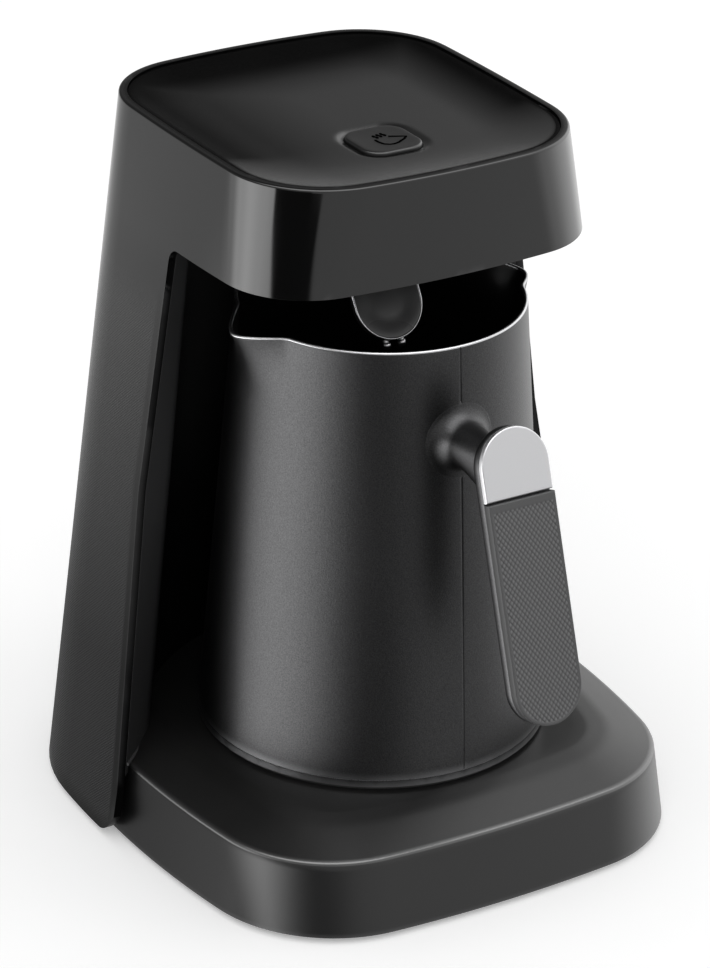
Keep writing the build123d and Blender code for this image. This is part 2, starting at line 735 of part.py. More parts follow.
feet_spots = both_sides(front_feet, rear_feet) + [(0, 0)]     # the fifth stands in the middle
with BuildPart() as base_plate:
    with BuildSketch(Plane.XY.offset(plate_z)):
        add(section(inset(base_low, wall + plate_gap), 0))
        with Locations((0, vent_y)):
            with GridLocations(1, vent_pitch, 1, vent_count):
                SlotOverall(vent_l, vent_w, mode=Mode.SUBTRACT)
        with Locations(*both_sides(front_posts, rear_posts)):
            Circle(base_screw.shaft_r + thread_gap, mode=Mode.SUBTRACT)
    extrude(amount=plate_t)
    with Locations(*[(x, y, plate_z) for x, y in feet_spots]):
        Cylinder(foot_r + skin_gap, foot_sink, align=CENTRE_UP, mode=Mode.SUBTRACT)
    with Locations(*[(x, y, plate_z) for x, y in both_sides(front_posts, rear_posts)]):
        Cylinder(base_screw.head_r + skin_gap, base_screw.head_h, align=CENTRE_UP,
                 mode=Mode.SUBTRACT)

with BuildPart() as base_screws:
    with Locations(*[(x, y, plate_z + base_screw.head_h)
                     for x, y in both_sides(front_posts, rear_posts)]):
        add(pan_screw(base_screw))

with BuildPart() as shell_screws:
    with Locations(*[(x, y, tower_z - wall) for x, y in both_sides((lug_x, lug_y))]):
        add(pan_screw(lug_screw))

with BuildPart() as rubber_feet:
    with BuildSketch(Plane.XY):
        with Locations(*feet_spots):
            Circle(foot_r)
    extrude(amount=plate_z + foot_sink)
    chamfer(rubber_feet.edges().group_by(Axis.Z)[0], foot_proud / 4)

with BuildPart() as seat_gasket:
    with BuildSketch(Plane.XY.offset(seat_z)):
        with Locations((0, pot_y)):
            Circle(gasket_r)
            Circle(gasket_r - gasket_w, mode=Mode.SUBTRACT)
    extrude(amount=seat_gap - body_gap)

# ---- Contacts under the pot -------------------------------------------------------------------------

housing_z = low_z + housing_floor_h
flange_z = ceiling_z - wall
step_z = flange_z - wall
carrier_flange_z = step_z - body_gap - carrier_flange_t
with BuildPart() as contact_housing:
    with Locations((0, pot_y, housing_z - wall)):
        Cylinder(housing_r + wall, ceiling_z - housing_z + wall, align=CENTRE_UP)
    with Locations((0, pot_y, flange_z)):
        Cylinder(housing_flange_r, wall, align=CENTRE_UP)
    with Locations((0, pot_y, ceiling_z)):
        Cylinder(housing_r, wall + collar_rise, align=CENTRE_UP)
        Cylinder(bore_r, far, mode=Mode.SUBTRACT)
    with Locations((0, pot_y, housing_z - wall)):
        Cylinder(housing_r, wall, align=CENTRE_UP)
    with Locations((0, pot_y, housing_z)):
        Cylinder(carrier_flange_r + body_gap, step_z - housing_z, align=CENTRE_UP,
                 mode=Mode.SUBTRACT)
    with Locations((0, pot_y, flange_z)):
        with PolarLocations(flange_screw_r, 3):
            Cylinder(small_screw.shaft_r + thread_gap, wall, align=CENTRE_UP,
                     mode=Mode.SUBTRACT)

with BuildPart() as housing_screws:
    with Locations((0, pot_y, flange_z)):
        with PolarLocations(flange_screw_r, 3):
            add(pan_screw(small_screw))

carrier_top_z = seat_z + carrier_top
with BuildPart() as contact_carrier:
    with Locations((0, pot_y, carrier_flange_z)):
        Cylinder(carrier_r, carrier_top_z - carrier_flange_z, align=CENTRE_UP)
        Cylinder(carrier_flange_r, carrier_flange_t, align=CENTRE_UP)
    with Locations(*[(x, pot_y, carrier_top_z) for x in pin_spots]):
        Cylinder(pin_r + thread_gap, far, mode=Mode.SUBTRACT)

pin_top_z = cup_z - contact_gap
with BuildPart() as contact_pins:
    with Locations(*[(x, pot_y, carrier_flange_z) for x in pin_spots]):
        Cylinder(pin_r, pin_top_z - pin_r - carrier_flange_z, align=CENTRE_UP)
    with Locations(*[(x, pot_y, pin_top_z - pin_r) for x in pin_spots]):
        Sphere(pin_r)

spring_l = carrier_flange_z - housing_z
spring_r = carrier_flange_r - 2 * spring_wire_r
with BuildPart() as contact_spring:
    with BuildLine():
        coil = Helix((spring_l - 2 * spring_wire_r) / spring_turns,
                     spring_l - 2 * spring_wire_r, spring_r,
                     center=(0, pot_y, housing_z + spring_wire_r))
    with BuildSketch(Plane(origin=coil @ 0, z_dir=coil % 0)):
        Circle(spring_wire_r)
    sweep(is_frenet=True)

# ---- Pot ---------------------------------------------------------------------------------------------

steel_z = pot_z + pot_ring_h + seal_t
floor_z = pot_z + pot_floor_h
pot_plane = Plane(origin=(0, pot_y, 0), x_dir=(1, 0, 0), z_dir=(0, -1, 0))
pot_axis = Axis((0, pot_y, 0), (0, 0, 1))


def pot_cone(low, high, skin, corner_r=0.0):
    """Solid cone that lies skin inside the pot's outer surface, its lower corner rounded."""
    with BuildPart() as cone:
        with BuildSketch(pot_plane) as half:
            with BuildLine():
                Polyline((0, low), (pot_r(low) - skin, low), (pot_r(high) - skin, high),
                         (0, high), close=True)
            make_face()
            if corner_r:
                fillet(half.vertices().sort_by_distance((pot_r(low), low))[0], corner_r)
        revolve(axis=pot_axis)
    return cone.part


def spouts(skin):
    """Both spouts as solids, skin inside their outer surface."""
    turn = radians(spout_half_angle)
    low = pot_rim_z - spout_h
    sections = ((low, pot_r(low) - skin - skin_gap, spout_root_w),
                (pot_rim_z, spout_reach - skin, pot_rim_r * sin(turn) - skin))
    with BuildPart() as pair:
        for side in (-1, 1):
            for z, tip, half_w in sections:
                root = (pot_r(z) - pot_t) * cos(turn) - skin
                with BuildSketch(Plane.XY.offset(z)) as plan:
                    with BuildLine():
                        Polyline((side * root, pot_y - half_w), (side * tip, pot_y),
                                 (side * root, pot_y + half_w), close=True)
                    make_face()
                    point = plan.vertices().sort_by_distance((side * tip, pot_y))[0]
                    fillet(point, spout_tip_r * half_w / sections[-1][2])
            loft(ruled=True)
    return pair.part


with BuildPart() as pot_body:
    add(pot_cone(steel_z, pot_rim_z, 0.0))
    add(spouts(0.0))
    add(pot_cone(floor_z + pot_t, pot_rim_z, pot_t, pot_floor_fillet), mode=Mode.SUBTRACT)
    add(spouts(pot_t), mode=Mode.SUBTRACT)
    with BuildSketch(pot_plane) as under:
        with BuildLine():
            Polyline((0, steel_z), (pot_r(steel_z) - pot_t, steel_z),
                     (pot_r(floor_z) - pot_t, floor_z), (0, floor_z), close=True)
        make_face()
        top_corner = under.vertices().sort_by_distance((pot_r(floor_z), floor_z))[0]
        fillet(top_corner, pot_floor_fillet)
    revolve(axis=pot_axis, mode=Mode.SUBTRACT)

with BuildPart() as pot_base_ring:
    band_z = pot_z + pot_ring_h
    cup_r = pot_r(band_z + cup_h) - pot_t - skin_gap
    with BuildSketch(pot_plane):
        with BuildLine():
            Polyline((0, cup_z), (pot_foot_r - ring_wall, cup_z), (pot_foot_r - ring_wall, pot_z),
                     (pot_foot_r, pot_z), (pot_r(band_z), band_z), (cup_r, band_z),
                     (cup_r, band_z + cup_h), (cup_r - ring_wall, band_z + cup_h),
                     (cup_r - ring_wall, cup_z + wall), (0, cup_z + wall), close=True)
        make_face()
    revolve(axis=pot_axis)
    with Locations((0, pot_y, cup_z)):
        with PolarLocations(cup_screw_ring, 3):
            Cylinder(cup_post_r, floor_z - heater_t - cup_z, align=CENTRE_UP)
            Cylinder(cup_screw.shaft_r + thread_gap, far, mode=Mode.SUBTRACT)
            Cylinder(cup_screw.head_r + skin_gap, cup_screw.head_h, align=CENTRE_UP,
                     mode=Mode.SUBTRACT)
        Cylinder(pin_spots[1] + ring_half_w + skin_gap, ring_t, align=CENTRE_UP,
                 mode=Mode.SUBTRACT)
    for spot in pin_spots:
        with BuildSketch(Plane.XY.offset(cup_z)):
            with Locations((0, pot_y)):
                Circle(abs(spot) + ring_half_w + skin_gap)
                if spot:
                    Circle(abs(spot) - ring_half_w - skin_gap, mode=Mode.SUBTRACT)
        extrude(amount=ring_t, mode=Mode.SUBTRACT)

with BuildPart() as contact_rings:
    for spot in pin_spots:
        with BuildSketch(Plane.XY.offset(cup_z)):
            with Locations((0, pot_y)):
                Circle(abs(spot) + ring_half_w)
                if spot:
                    Circle(abs(spot) - ring_half_w, mode=Mode.SUBTRACT)
        extrude(amount=ring_t)

with BuildPart() as cup_screws:
    with Locations((0, pot_y, cup_z + cup_screw.head_h)):
        with PolarLocations(cup_screw_ring, 3):
            add(pan_screw(cup_screw))

with BuildPart() as pot_seal:
    with BuildSketch(Plane.XY.offset(band_z)):
        with Locations((0, pot_y)):
            Circle(pot_r(band_z) - seal_t)
            Circle(cup_r + skin_gap, mode=Mode.SUBTRACT)
    extrude(amount=seal_t)

with BuildPart() as heater_plate:
    with Locations((0, pot_y, floor_z)):
        Cylinder(heater_r, heater_t, align=CENTRE_DOWN)
        with PolarLocations(cup_screw_ring, 3):
            Cylinder(cup_screw.shaft_r + thread_gap, heater_t, align=CENTRE_DOWN,
                     mode=Mode.SUBTRACT)

with BuildPart() as heater_element:
    with Locations((0, pot_y, floor_z - heater_t - element_wire_r)):
        Torus(element_r, element_wire_r)

with BuildPart() as thermostat:
    with Locations((stat_x, pot_y, floor_z - heater_t)):
        Cylinder(stat_r, stat_h, align=CENTRE_DOWN)

# ---- Handle --------------------------------------------------------------------------------------------

tilt = radians(handle_tilt)
handle_r = handle_w / 2
face_plane = Plane(origin=(0, handle_top_y, handle_top_z), x_dir=(1, 0, 0),
                   z_dir=(0, -cos(tilt), sin(tilt)))
slab_y = handle_r - handle_len / 2            # middle of the slab on that plane
cap_y = handle_r - cap_len                    # lower edge of the cap plate
wall_y = pot_y - pot_r(neck_z)                # pot's surface on the neck's axis


def back_y(z, depth):
    """Y of the plane that lies depth behind the handle's face, at height z."""
    return handle_top_y - (handle_top_z - z) * tan(tilt) + depth / cos(tilt)


with BuildPart() as handle_core:
    with BuildSketch(face_plane.offset(-skin_t - core_t)):
        with Locations((0, slab_y)):
            SlotOverall(handle_len, handle_w, rotation=90)
    extrude(amount=core_t)
    fillet(handle_core.faces().sort_by(Axis.Y)[-1].edges(), core_t / 4)
    with BuildSketch(Plane.YZ):
        root = pot_y - pot_r(neck_z) + neck_flare
        flare_y = wall_y - neck_flare
        end_y = back_y(neck_z, skin_t + core_t / 2)
        with BuildLine():
            Polyline((flare_y, neck_z + neck_r), (end_y, neck_z + neck_r), (end_y, neck_z),
                     (root, neck_z), (root, neck_z + neck_r + neck_flare),
                     (wall_y, neck_z + neck_r + neck_flare))
            RadiusArc((wall_y, neck_z + neck_r + neck_flare), (flare_y, neck_z + neck_r),
                      -neck_flare)
        make_face()
    revolve(axis=Axis((0, 0, neck_z), (0, 1, 0)))
    with BuildSketch(Plane.YZ):
        low = neck_z - gusset_drop
        start = (flare_y - neck_flare / 2, neck_z - neck_r)
        with BuildLine():
            Polyline((flare_y - neck_flare / 2, neck_z), (back_y(neck_z, skin_t + core_t / 2), neck_z),
                     (back_y(low, skin_t + core_t / 2), low), (back_y(low, skin_t + core_t), low))
            TangentArc((back_y(low, skin_t + core_t), low), start, tangent=(sin(tilt), cos(tilt)))
            Line(start, (flare_y - neck_flare / 2, neck_z))
        make_face()
    extrude(amount=gusset_w / 2, both=True)
    add(pot_cone(pot_z, pot_rim_z, -thread_gap), mode=Mode.SUBTRACT)
    with BuildSketch(Plane.XZ):
        with Locations((0, neck_z)):
            Circle(stud_r + thread_gap)
    extrude(amount=stud_l - wall_y + thread_gap, mode=Mode.SUBTRACT)
    with BuildSketch(Plane.XZ):
        with Locations((0, neck_z)):
            Circle(handle_screw_r + thread_gap)
    extrude(amount=-handle_top_y + handle_len, mode=Mode.SUBTRACT)
    with BuildSketch(Plane.XZ.offset(-handle_seat_y)):
        with Locations((0, neck_z)):
            Circle(handle_head_r + thread_gap)
    extrude(amount=handle_len, mode=Mode.SUBTRACT)

with BuildPart() as handle_stud:
    with BuildSketch(Plane.XZ):
        with Locations((0, neck_z)):
            Circle(stud_r)
            Circle(handle_screw_r + thread_gap, mode=Mode.SUBTRACT)
    extrude(amount=stud_l - wall_y)
    add(pot_cone(pot_z, pot_rim_z, 0.0), mode=Mode.SUBTRACT)

with BuildPart() as handle_screw:
    with BuildSketch(Plane.XZ.offset(-handle_seat_y)):
        with Locations((0, neck_z)):
            Circle(handle_head_r)
    extrude(amount=handle_head_h)
    with BuildSketch(Plane.XZ.offset(-handle_seat_y)):
        with Locations((0, neck_z)):
            Circle(handle_screw_r)
    extrude(amount=handle_seat_y - wall_y + stud_l / 2)

with BuildPart() as handle_cap_plate:
    with BuildSketch(face_plane.offset(-skin_t)):
        with Locations((0, slab_y)):
            SlotOverall(handle_len, handle_w, rotation=90)
        with Locations((0, cap_y)):
            Rectangle(handle_w, handle_len, align=(Align.CENTER, Align.MIN),
                      mode=Mode.INTERSECT)
    extrude(amount=skin_t)
    fillet(handle_cap_plate.faces().sort_by(Axis.Y)[0].edges(), skin_t / 5)

with BuildPart() as handle_grip_pad:
    with BuildSketch(face_plane.offset(-skin_t)):
        with Locations((0, slab_y)):
            SlotOverall(handle_len, handle_w, rotation=90)
        with Locations((0, cap_y - cap_line)):
            Rectangle(handle_w, handle_len, align=(Align.CENTER, Align.MAX),
                      mode=Mode.INTERSECT)
    extrude(amount=skin_t + grip_proud)
    fillet(handle_grip_pad.faces().sort_by(Axis.Y)[0].edges(), skin_t / 5)

# ---- Write every piece ----------------------------------------------------------------------------------

pieces = {
    "outer_shell": outer_shell, "top_tray": top_tray, "head_underside": head_underside,
    "tray_screws": tray_screws, "start_button": start_button, "control_board": control_board,
    "board_screws": board_screws, "tact_switch": tact_switch, "switch_plunger": switch_plunger,
    "button_leds": button_leds, "buzzer": buzzer, "board_plug": board_plug,
    "sensor_flap": sensor_flap, "sensor_electrodes": sensor_electrodes, "hinge_pin": hinge_pin,
    "flap_bracket": flap_bracket, "bracket_screws": bracket_screws, "flap_spring": flap_spring,
    "bay_liner": bay_liner, "power_board": power_board,
    "power_board_screws": power_board_screws, "transformer": transformer, "relay": relay,
    "smoothing_capacitor": smoothing_capacitor, "terminal_block": terminal_block,
    "inlet_gland": inlet_gland, "base_cover": base_cover, "base_plate": base_plate,
    "base_screws": base_screws, "shell_screws": shell_screws, "rubber_feet": rubber_feet,
    "seat_gasket": seat_gasket, "contact_housing": contact_housing,
    "housing_screws": housing_screws, "contact_carrier": contact_carrier,
    "contact_pins": contact_pins, "contact_spring": contact_spring, "pot_body": pot_body,
    "pot_base_ring": pot_base_ring, "contact_rings": contact_rings, "cup_screws": cup_screws,
    "pot_seal": pot_seal, "heater_plate": heater_plate, "heater_element": heater_element,
    "thermostat": thermostat, "handle_core": handle_core, "handle_stud": handle_stud,
    "handle_screw": handle_screw, "handle_cap_plate": handle_cap_plate,
    "handle_grip_pad": handle_grip_pad,
}

os.makedirs("parts", exist_ok=True)
for name, piece in pieces.items():
    piece.part.label = name
    export_step(piece.part, f"parts/{name}.step")
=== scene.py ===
import math
import bmesh
import bpy
import numpy as np
from mathutils import Matrix, Vector


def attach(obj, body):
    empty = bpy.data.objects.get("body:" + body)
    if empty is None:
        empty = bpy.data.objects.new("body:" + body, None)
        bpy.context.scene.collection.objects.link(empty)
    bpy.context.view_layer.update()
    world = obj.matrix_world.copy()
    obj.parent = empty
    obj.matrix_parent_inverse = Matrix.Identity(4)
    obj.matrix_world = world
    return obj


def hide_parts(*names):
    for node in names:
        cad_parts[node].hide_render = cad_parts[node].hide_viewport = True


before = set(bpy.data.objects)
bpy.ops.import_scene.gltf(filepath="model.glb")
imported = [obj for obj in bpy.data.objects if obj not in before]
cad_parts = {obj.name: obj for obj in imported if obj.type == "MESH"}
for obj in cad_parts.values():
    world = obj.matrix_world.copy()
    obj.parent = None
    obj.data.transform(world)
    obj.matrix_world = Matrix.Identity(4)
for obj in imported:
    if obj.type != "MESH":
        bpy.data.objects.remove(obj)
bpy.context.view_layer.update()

mm = 0.001

# Outlines seen from above, in mm: half width at the corners, bow of the sides, front corners, bow,
# rear corners, bow, front corner radius, rear corner radius
tower = {
    "footZ": 2.0, "headZ": 189.7, "rimZ": 222.0,
    "foot": (75.35, 11.35, -87.6, 5.6, 87.6, 0.5, 43.4, 62.8),
    "head": (57.7, 2.9, -46.2, 5.0, 69.4, 4.3, 26.8, 35.0),
    "rim": (54.6, 1.5, -45.2, 4.9, 66.2, 5.0, 31.2, 30.2),
    "wall": 2.5,
    "bayLowY": -4.5, "bayKneeY": 7.0, "kneeZ": 112.0, "bayCorner": 4.0,
}


def ease(t):
    # 0 to 1 with a level start and end: three t squared less two t cubed
    t = np.clip(t, 0.0, 1.0)
    return t * t * (3.0 - 2.0 * t)


def towerNumbers(z):
    # each number of the outline runs straight from foot to head, and on to the rim
    knots = (tower["footZ"], tower["headZ"], tower["rimZ"])
    table = np.array((tower["foot"], tower["head"], tower["rim"]))
    z = np.atleast_1d(z)
    return np.stack([np.interp(z, knots, column) for column in table.T], axis=-1)


def bayEdgeY(z):
    # the tower's front edge leans back up to the knee, is upright above it, and curls forward
    # in a quarter circle under the head
    z = np.atleast_1d(z)
    lean = np.clip((z - tower["footZ"]) / (tower["kneeZ"] - tower["footZ"]), 0, 1)
    edge = tower["bayLowY"] + (tower["bayKneeY"] - tower["bayLowY"]) * lean
    curl = tower["bayCorner"]
    near = np.clip(curl - (tower["headZ"] - z), 0, curl)
    return edge - (curl - np.sqrt(curl ** 2 - near ** 2))


def crossing(ax, ay, ar, bx, by, br, nearX, nearY):
    # where two circles cross: a share of the way from one centre to the other, and then
    # sideways, on the side of the near point
    dx, dy = bx - ax, by - ay
    apart = dx ** 2 + dy ** 2
    share = (ar ** 2 - br ** 2 + apart) / (2 * apart)
    side = np.sqrt(np.maximum(ar ** 2 / apart - share ** 2, 0))
    onX, onY = ax + share * dx - side * dy, ay + share * dy + side * dx
    offX, offY = ax + share * dx + side * dy, ay + share * dy - side * dx
    first = np.hypot(onX - nearX, onY - nearY) < np.hypot(offX - nearX, offY - nearY)
    return np.where(first, onX, offX), np.where(first, onY, offY)


def arcRows(cx, cy, radius, start, end, count):
    # points along a circle arc, one arc for each row, without its last point
    share = np.arange(count) / count
    angle = start[:, None] + (end - start)[:, None] * share
    return np.stack([cx[:, None] + radius[:, None] * np.cos(angle),
                     cy[:, None] + radius[:, None] * np.sin(angle)], axis=-1)


def outlineRows(numbers, inset, counts, splitY=5.0):
    # One closed loop for each row. Ends and sides are bowed circle arcs, and a corner is a circle
    # that touches both, so its centre is where the two circles cross once drawn in by its radius.
    # Points go from the front middle by the right side to the rear middle, and back by the left.
    # On the sides they are counted up to splitY and on from it.
    halfW, sideBow, front, frontBow, rear, rearBow, frontR, rearR = numbers.T.copy()
    halfW, front, rear = halfW - inset, front + inset, rear - inset
    frontR, rearR = frontR - inset, rearR - inset
    nil = np.zeros_like(halfW)
    endR = (halfW ** 2 + frontBow ** 2) / (2 * frontBow)
    endY = front - frontBow + endR
    backR = (halfW ** 2 + rearBow ** 2) / (2 * rearBow)
    backY = rear + rearBow - backR
    halfL, midY = (rear - front) / 2, (rear + front) / 2
    sideR = (halfL ** 2 + sideBow ** 2) / (2 * sideBow)
    sideX = halfW + sideBow - sideR
    fx, fy = crossing(nil, endY, endR - frontR, sideX, midY, sideR - frontR,
                      halfW - frontR, front + frontR)
    rx, ry = crossing(nil, backY, backR - rearR, sideX, midY, sideR - rearR,
                      halfW - rearR, rear - rearR)
    split = np.arcsin((splitY - midY) / sideR)
    frontTurn, sideTurn = np.arctan2(fy - endY, fx), np.arctan2(fy - midY, fx - sideX)
    sideStop, rearTurn = np.arctan2(ry - midY, rx - sideX), np.arctan2(ry - backY, rx)
    quarter = np.full_like(halfW, math.pi / 2)
    right = np.concatenate([
        arcRows(nil, endY, endR, -quarter, frontTurn, counts[0]),
        arcRows(fx, fy, frontR, frontTurn, sideTurn, counts[1]),
        arcRows(sideX, midY, sideR, sideTurn, split, counts[2]),
        arcRows(sideX, midY, sideR, split, sideStop, counts[3]),
        arcRows(rx, ry, rearR, sideStop, rearTurn, counts[4]),
        arcRows(nil, backY, backR, rearTurn, quarter, counts[5]),
        np.stack([nil, backY + backR], axis=-1)[:, None, :]], axis=1)
    left = right[:, -2:0:-1] * np.array([-1.0, 1.0])
    return np.concatenate([right, left], axis=1)


def withZ(flat, z):
    # a row of plan points lifted to its height; z is one number for a row, or one for a point
    z = np.broadcast_to(np.asarray(z, float).reshape(len(flat), -1), flat.shape[:2])
    return np.concatenate([flat, z[..., None]], axis=-1)


def facesOf(index, wrap=False):
    # four-sided faces between neighbouring rows and columns of a table of point numbers
    following = np.roll(index, -1, axis=1) if wrap else index[:, 1:]
    current = index if wrap else index[:, :-1]
    return np.stack([current[:-1], following[:-1], following[1:], current[1:]], -1).reshape(-1, 4)


def gridOf(points, wrap=False, wrapRows=False):
    # point list and faces of a table of points
    rows, columns = points.shape[:2]
    index = np.arange(rows * columns).reshape(rows, columns)
    if wrapRows:
        index = np.vstack([index, index[:1]])
    return points.reshape(-1, 3), facesOf(index, wrap)


def thicken(outer, inner, faces):
    # a closed wall: outer skin, inner skin turned round, and a strip along every free edge
    count = len(outer)
    edges = faces[:, [[0, 1], [1, 2], [2, 3], [3, 0]]].reshape(-1, 2)
    found, first, uses = np.unique(np.sort(edges, 1), axis=0, return_index=True,
                                   return_counts=True)
    free = edges[first[uses == 1]]
    strip = np.stack([free[:, 1], free[:, 0], free[:, 0] + count, free[:, 1] + count], -1)
    return np.vstack([outer, inner]), np.vstack([faces, faces[:, ::-1] + count, strip])


def quarter(count):
    return np.linspace(0, math.pi / 2, count)


def fullTurn(count):
    return np.linspace(0, 2 * math.pi, count, endpoint=False)


def ringRows(profile, spot, angle, axes=(0, 1, 2)):
    # rings about an axis through spot, one for each radius and place of the profile; axes are
    # where the cosine, the sine and the place go
    rows = np.zeros((len(profile), len(angle), 3)) + spot
    for row, (radius, place) in zip(rows, profile):
        row[:, axes] += np.stack([radius * np.cos(angle), radius * np.sin(angle),
                                  np.broadcast_to(place, len(angle))], -1)
    return rows


def joinParts(parts):
    # several point lists and face lists as one
    starts = np.cumsum([0] + [len(points) for points, faces in parts[:-1]])
    return (np.vstack([points for points, faces in parts]),
            np.vstack([faces + start for (points, faces), start in zip(parts, starts)]))


def tube(path, radius, sides=10, flatten=1.0, up=(0, 0, 1)):
    # a circle carried along a path, square to it, drawn to a point at both ends
    path = np.asarray(path, float)
    along = np.gradient(path, axis=0)
    along /= np.linalg.norm(along, axis=1)[:, None]
    across = np.cross(along, np.array(up, float))
    across /= np.linalg.norm(across, axis=1)[:, None]
    lift = np.cross(across, along)
    turn = fullTurn(sides)
    size = np.broadcast_to(np.asarray(radius, float), len(path))[:, None, None]
    rings = (path[:, None] + size * (np.cos(turn)[None, :, None] * across[:, None]
                                     + flatten * np.sin(turn)[None, :, None] * lift[:, None]))
    start = np.repeat(path[:1], sides, axis=0)[None]
    end = np.repeat(path[-1:], sides, axis=0)[None]
    return gridOf(np.concatenate([start, rings, end]), wrap=True)


def makePiece(name, body, skin, materials, replaces=(), sharp=40.0, bevel=None,
              marks=None, second=None):
    # Skin is points in mm and faces. Marks are numbers for each point that the materials read,
    # and second is the number of each face's material.
    points, faces = skin
    mesh = bpy.data.meshes.new(name)
    mesh.from_pydata((points * mm).tolist(), [], faces.tolist())
    for key, values in (marks or {}).items():
        layer = mesh.attributes.new(key, "FLOAT", "POINT")
        layer.data.foreach_set("value", np.asarray(values, dtype=np.float32))
    if second is not None:
        mesh.polygons.foreach_set("material_index", np.asarray(second, dtype=np.int32))
    work = bmesh.new()
    work.from_mesh(mesh)
    bmesh.ops.remove_doubles(work, verts=work.verts, dist=2e-7)
    bmesh.ops.recalc_face_normals(work, faces=work.faces)
    work.to_mesh(mesh)
    work.free()
    mesh.polygons.foreach_set("use_smooth", np.ones(len(mesh.polygons), dtype=bool))
    mesh.set_sharp_from_angle(angle=math.radians(sharp))
    for material in materials:
        mesh.materials.append(finish[material])
    piece = bpy.data.objects.new(name, mesh)
    bpy.context.scene.collection.objects.link(piece)
    if bevel:
        soften = piece.modifiers.new("softEdges", "BEVEL")
        soften.width, soften.segments = bevel * mm, 3
        soften.limit_method, soften.angle_limit = "ANGLE", math.radians(sharp)
        soften.harden_normals = True
    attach(piece, body)
    if replaces:
        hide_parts(*replaces)


# shader nodes: small helpers, then the groups that the finishes share
def feed(tree, value, socket):
    # a socket is linked, and anything else becomes the input's own value
    if isinstance(value, bpy.types.NodeSocket):
        tree.links.new(value, socket)
    else:
        socket.default_value = value


def fill(tree, node, values):
    for key, value in values.items():
        feed(tree, value, node.inputs[key])
    return node


def put(tree, kind, values=None, **settings):
    # a new node with its settings and its inputs
    node = tree.nodes.new(kind)
    for key, value in settings.items():
        setattr(node, key, value)
    return fill(tree, node, values or {})


def maths(tree, operation, *values):
    return put(tree, "ShaderNodeMath", dict(enumerate(values)), operation=operation).outputs[0]


def mixColour(tree, amount, first, second):
    # a colour given as one number is a grey, a trace bluer than neutral
    values = {"Factor": amount}
    for place, colour in ((6, first), (7, second)):
        if isinstance(colour, float):
            colour = colour, colour, colour * 1.02
        values[place] = (*colour, 1.0) if isinstance(colour, tuple) else colour
    return put(tree, "ShaderNodeMix", values, data_type="RGBA").outputs[2]


def objectSpot(tree):
    return put(tree, "ShaderNodeTexCoord").outputs["Object"]


def markOf(tree, name):
    return put(tree, "ShaderNodeAttribute", attribute_name=name).outputs["Fac"]


def noise(tree, spot, scale, detail, rough=0.5):
    values = {"Vector": spot, "Scale": scale, "Detail": detail, "Roughness": rough}
    return put(tree, "ShaderNodeTexNoise", values).outputs["Fac"]


def newGroup(name, inputs, outputs):
    # a group of plain numbers, with the sockets that it reads and those that it fills
    group = bpy.data.node_groups.new(name, "ShaderNodeTree")
    for label, value in inputs.items():
        socket = group.interface.new_socket(label, in_out="INPUT", socket_type="NodeSocketFloat")
        socket.default_value = value
    for label in outputs:
        group.interface.new_socket(label, in_out="OUTPUT", socket_type="NodeSocketFloat")
    given = group.nodes.new("NodeGroupInput").outputs
    return group, given, group.nodes.new("NodeGroupOutput").inputs


def makeGrain():
    # moulded or sprayed skin: fine noise over slow clouds
    group, given, result = newGroup("fineGrain", {"Fineness": 2500.0, "Clouds": 18.0},
                                    ("Tint", "Cloud", "Height"))
    spot = objectSpot(group)
    fine = noise(group, spot, given["Fineness"], 3.0, 0.6)
    cells = put(group, "ShaderNodeTexVoronoi", {"Vector": spot, "Scale": given["Fineness"]})
    feed(group, fine, result["Tint"])
    feed(group, noise(group, spot, given["Clouds"], 2.0), result["Cloud"])
    height = maths(group, "MULTIPLY_ADD", cells.outputs["Distance"], 0.5, fine)
    feed(group, height, result["Height"])
    return group


def makeHatch():
    # two families of fine slanting lines that cross, along the outline and up the wall
    group, given, result = newGroup("crossHatch", {"Pitch": 0.0011, "Slope": 1.0},
                                    ("Height", "Amount"))
    along, amount = markOf(group, "around"), markOf(group, "hatch")
    split = put(group, "ShaderNodeSeparateXYZ", {0: objectSpot(group)})
    rise = maths(group, "MULTIPLY", split.outputs["Z"], given["Slope"])
    turn = maths(group, "DIVIDE", 2 * math.pi, given["Pitch"])
    waves = [maths(group, "SINE",
                   maths(group, "MULTIPLY", maths(group, "MULTIPLY_ADD", rise, sign, along), turn))
             for sign in (1.0, -1.0)]
    height = maths(group, "MULTIPLY", maths(group, "MAXIMUM", *waves), amount)
    feed(group, height, result["Height"])
    feed(group, amount, result["Amount"])
    return group


def makeWear():
    # edges that hands polish: the mesh's own pointed places, broken up by noise
    group, given, result = newGroup("edgeWear", {"Start": 0.53, "Finish": 0.62, "Break": 120.0},
                                    ("Mask",))
    edge = put(group, "ShaderNodeNewGeometry").outputs["Pointiness"]
    span = put(group, "ShaderNodeMapRange",
               {"Value": edge, "From Min": given["Start"], "From Max": given["Finish"]},
               interpolation_type="SMOOTHSTEP")
    broken = maths(group, "MULTIPLY_ADD", noise(group, objectSpot(group), given["Break"], 3.0),
                   0.7, 0.4)
    feed(group, maths(group, "MULTIPLY", span.outputs["Result"], broken), result["Mask"])
    return group


def makeDust():
    # a trace of dust: only where the surface looks up, in soft patches
    group, given, result = newGroup("dustVeil", {"Patch": 26.0, "Speck": 900.0}, ("Mask",))
    spot = objectSpot(group)
    normal = put(group, "ShaderNodeNewGeometry").outputs["Normal"]
    split = put(group, "ShaderNodeSeparateXYZ", {0: normal})
    looksUp = maths(group, "POWER", maths(group, "MAXIMUM", split.outputs["Z"], 0.0), 3.0)
    patches = [noise(group, spot, given[key], 4.0, 0.65) for key in ("Patch", "Speck")]
    mask = maths(group, "MULTIPLY", maths(group, "MULTIPLY", *patches), looksUp)
    feed(group, mask, result["Mask"])
    return group


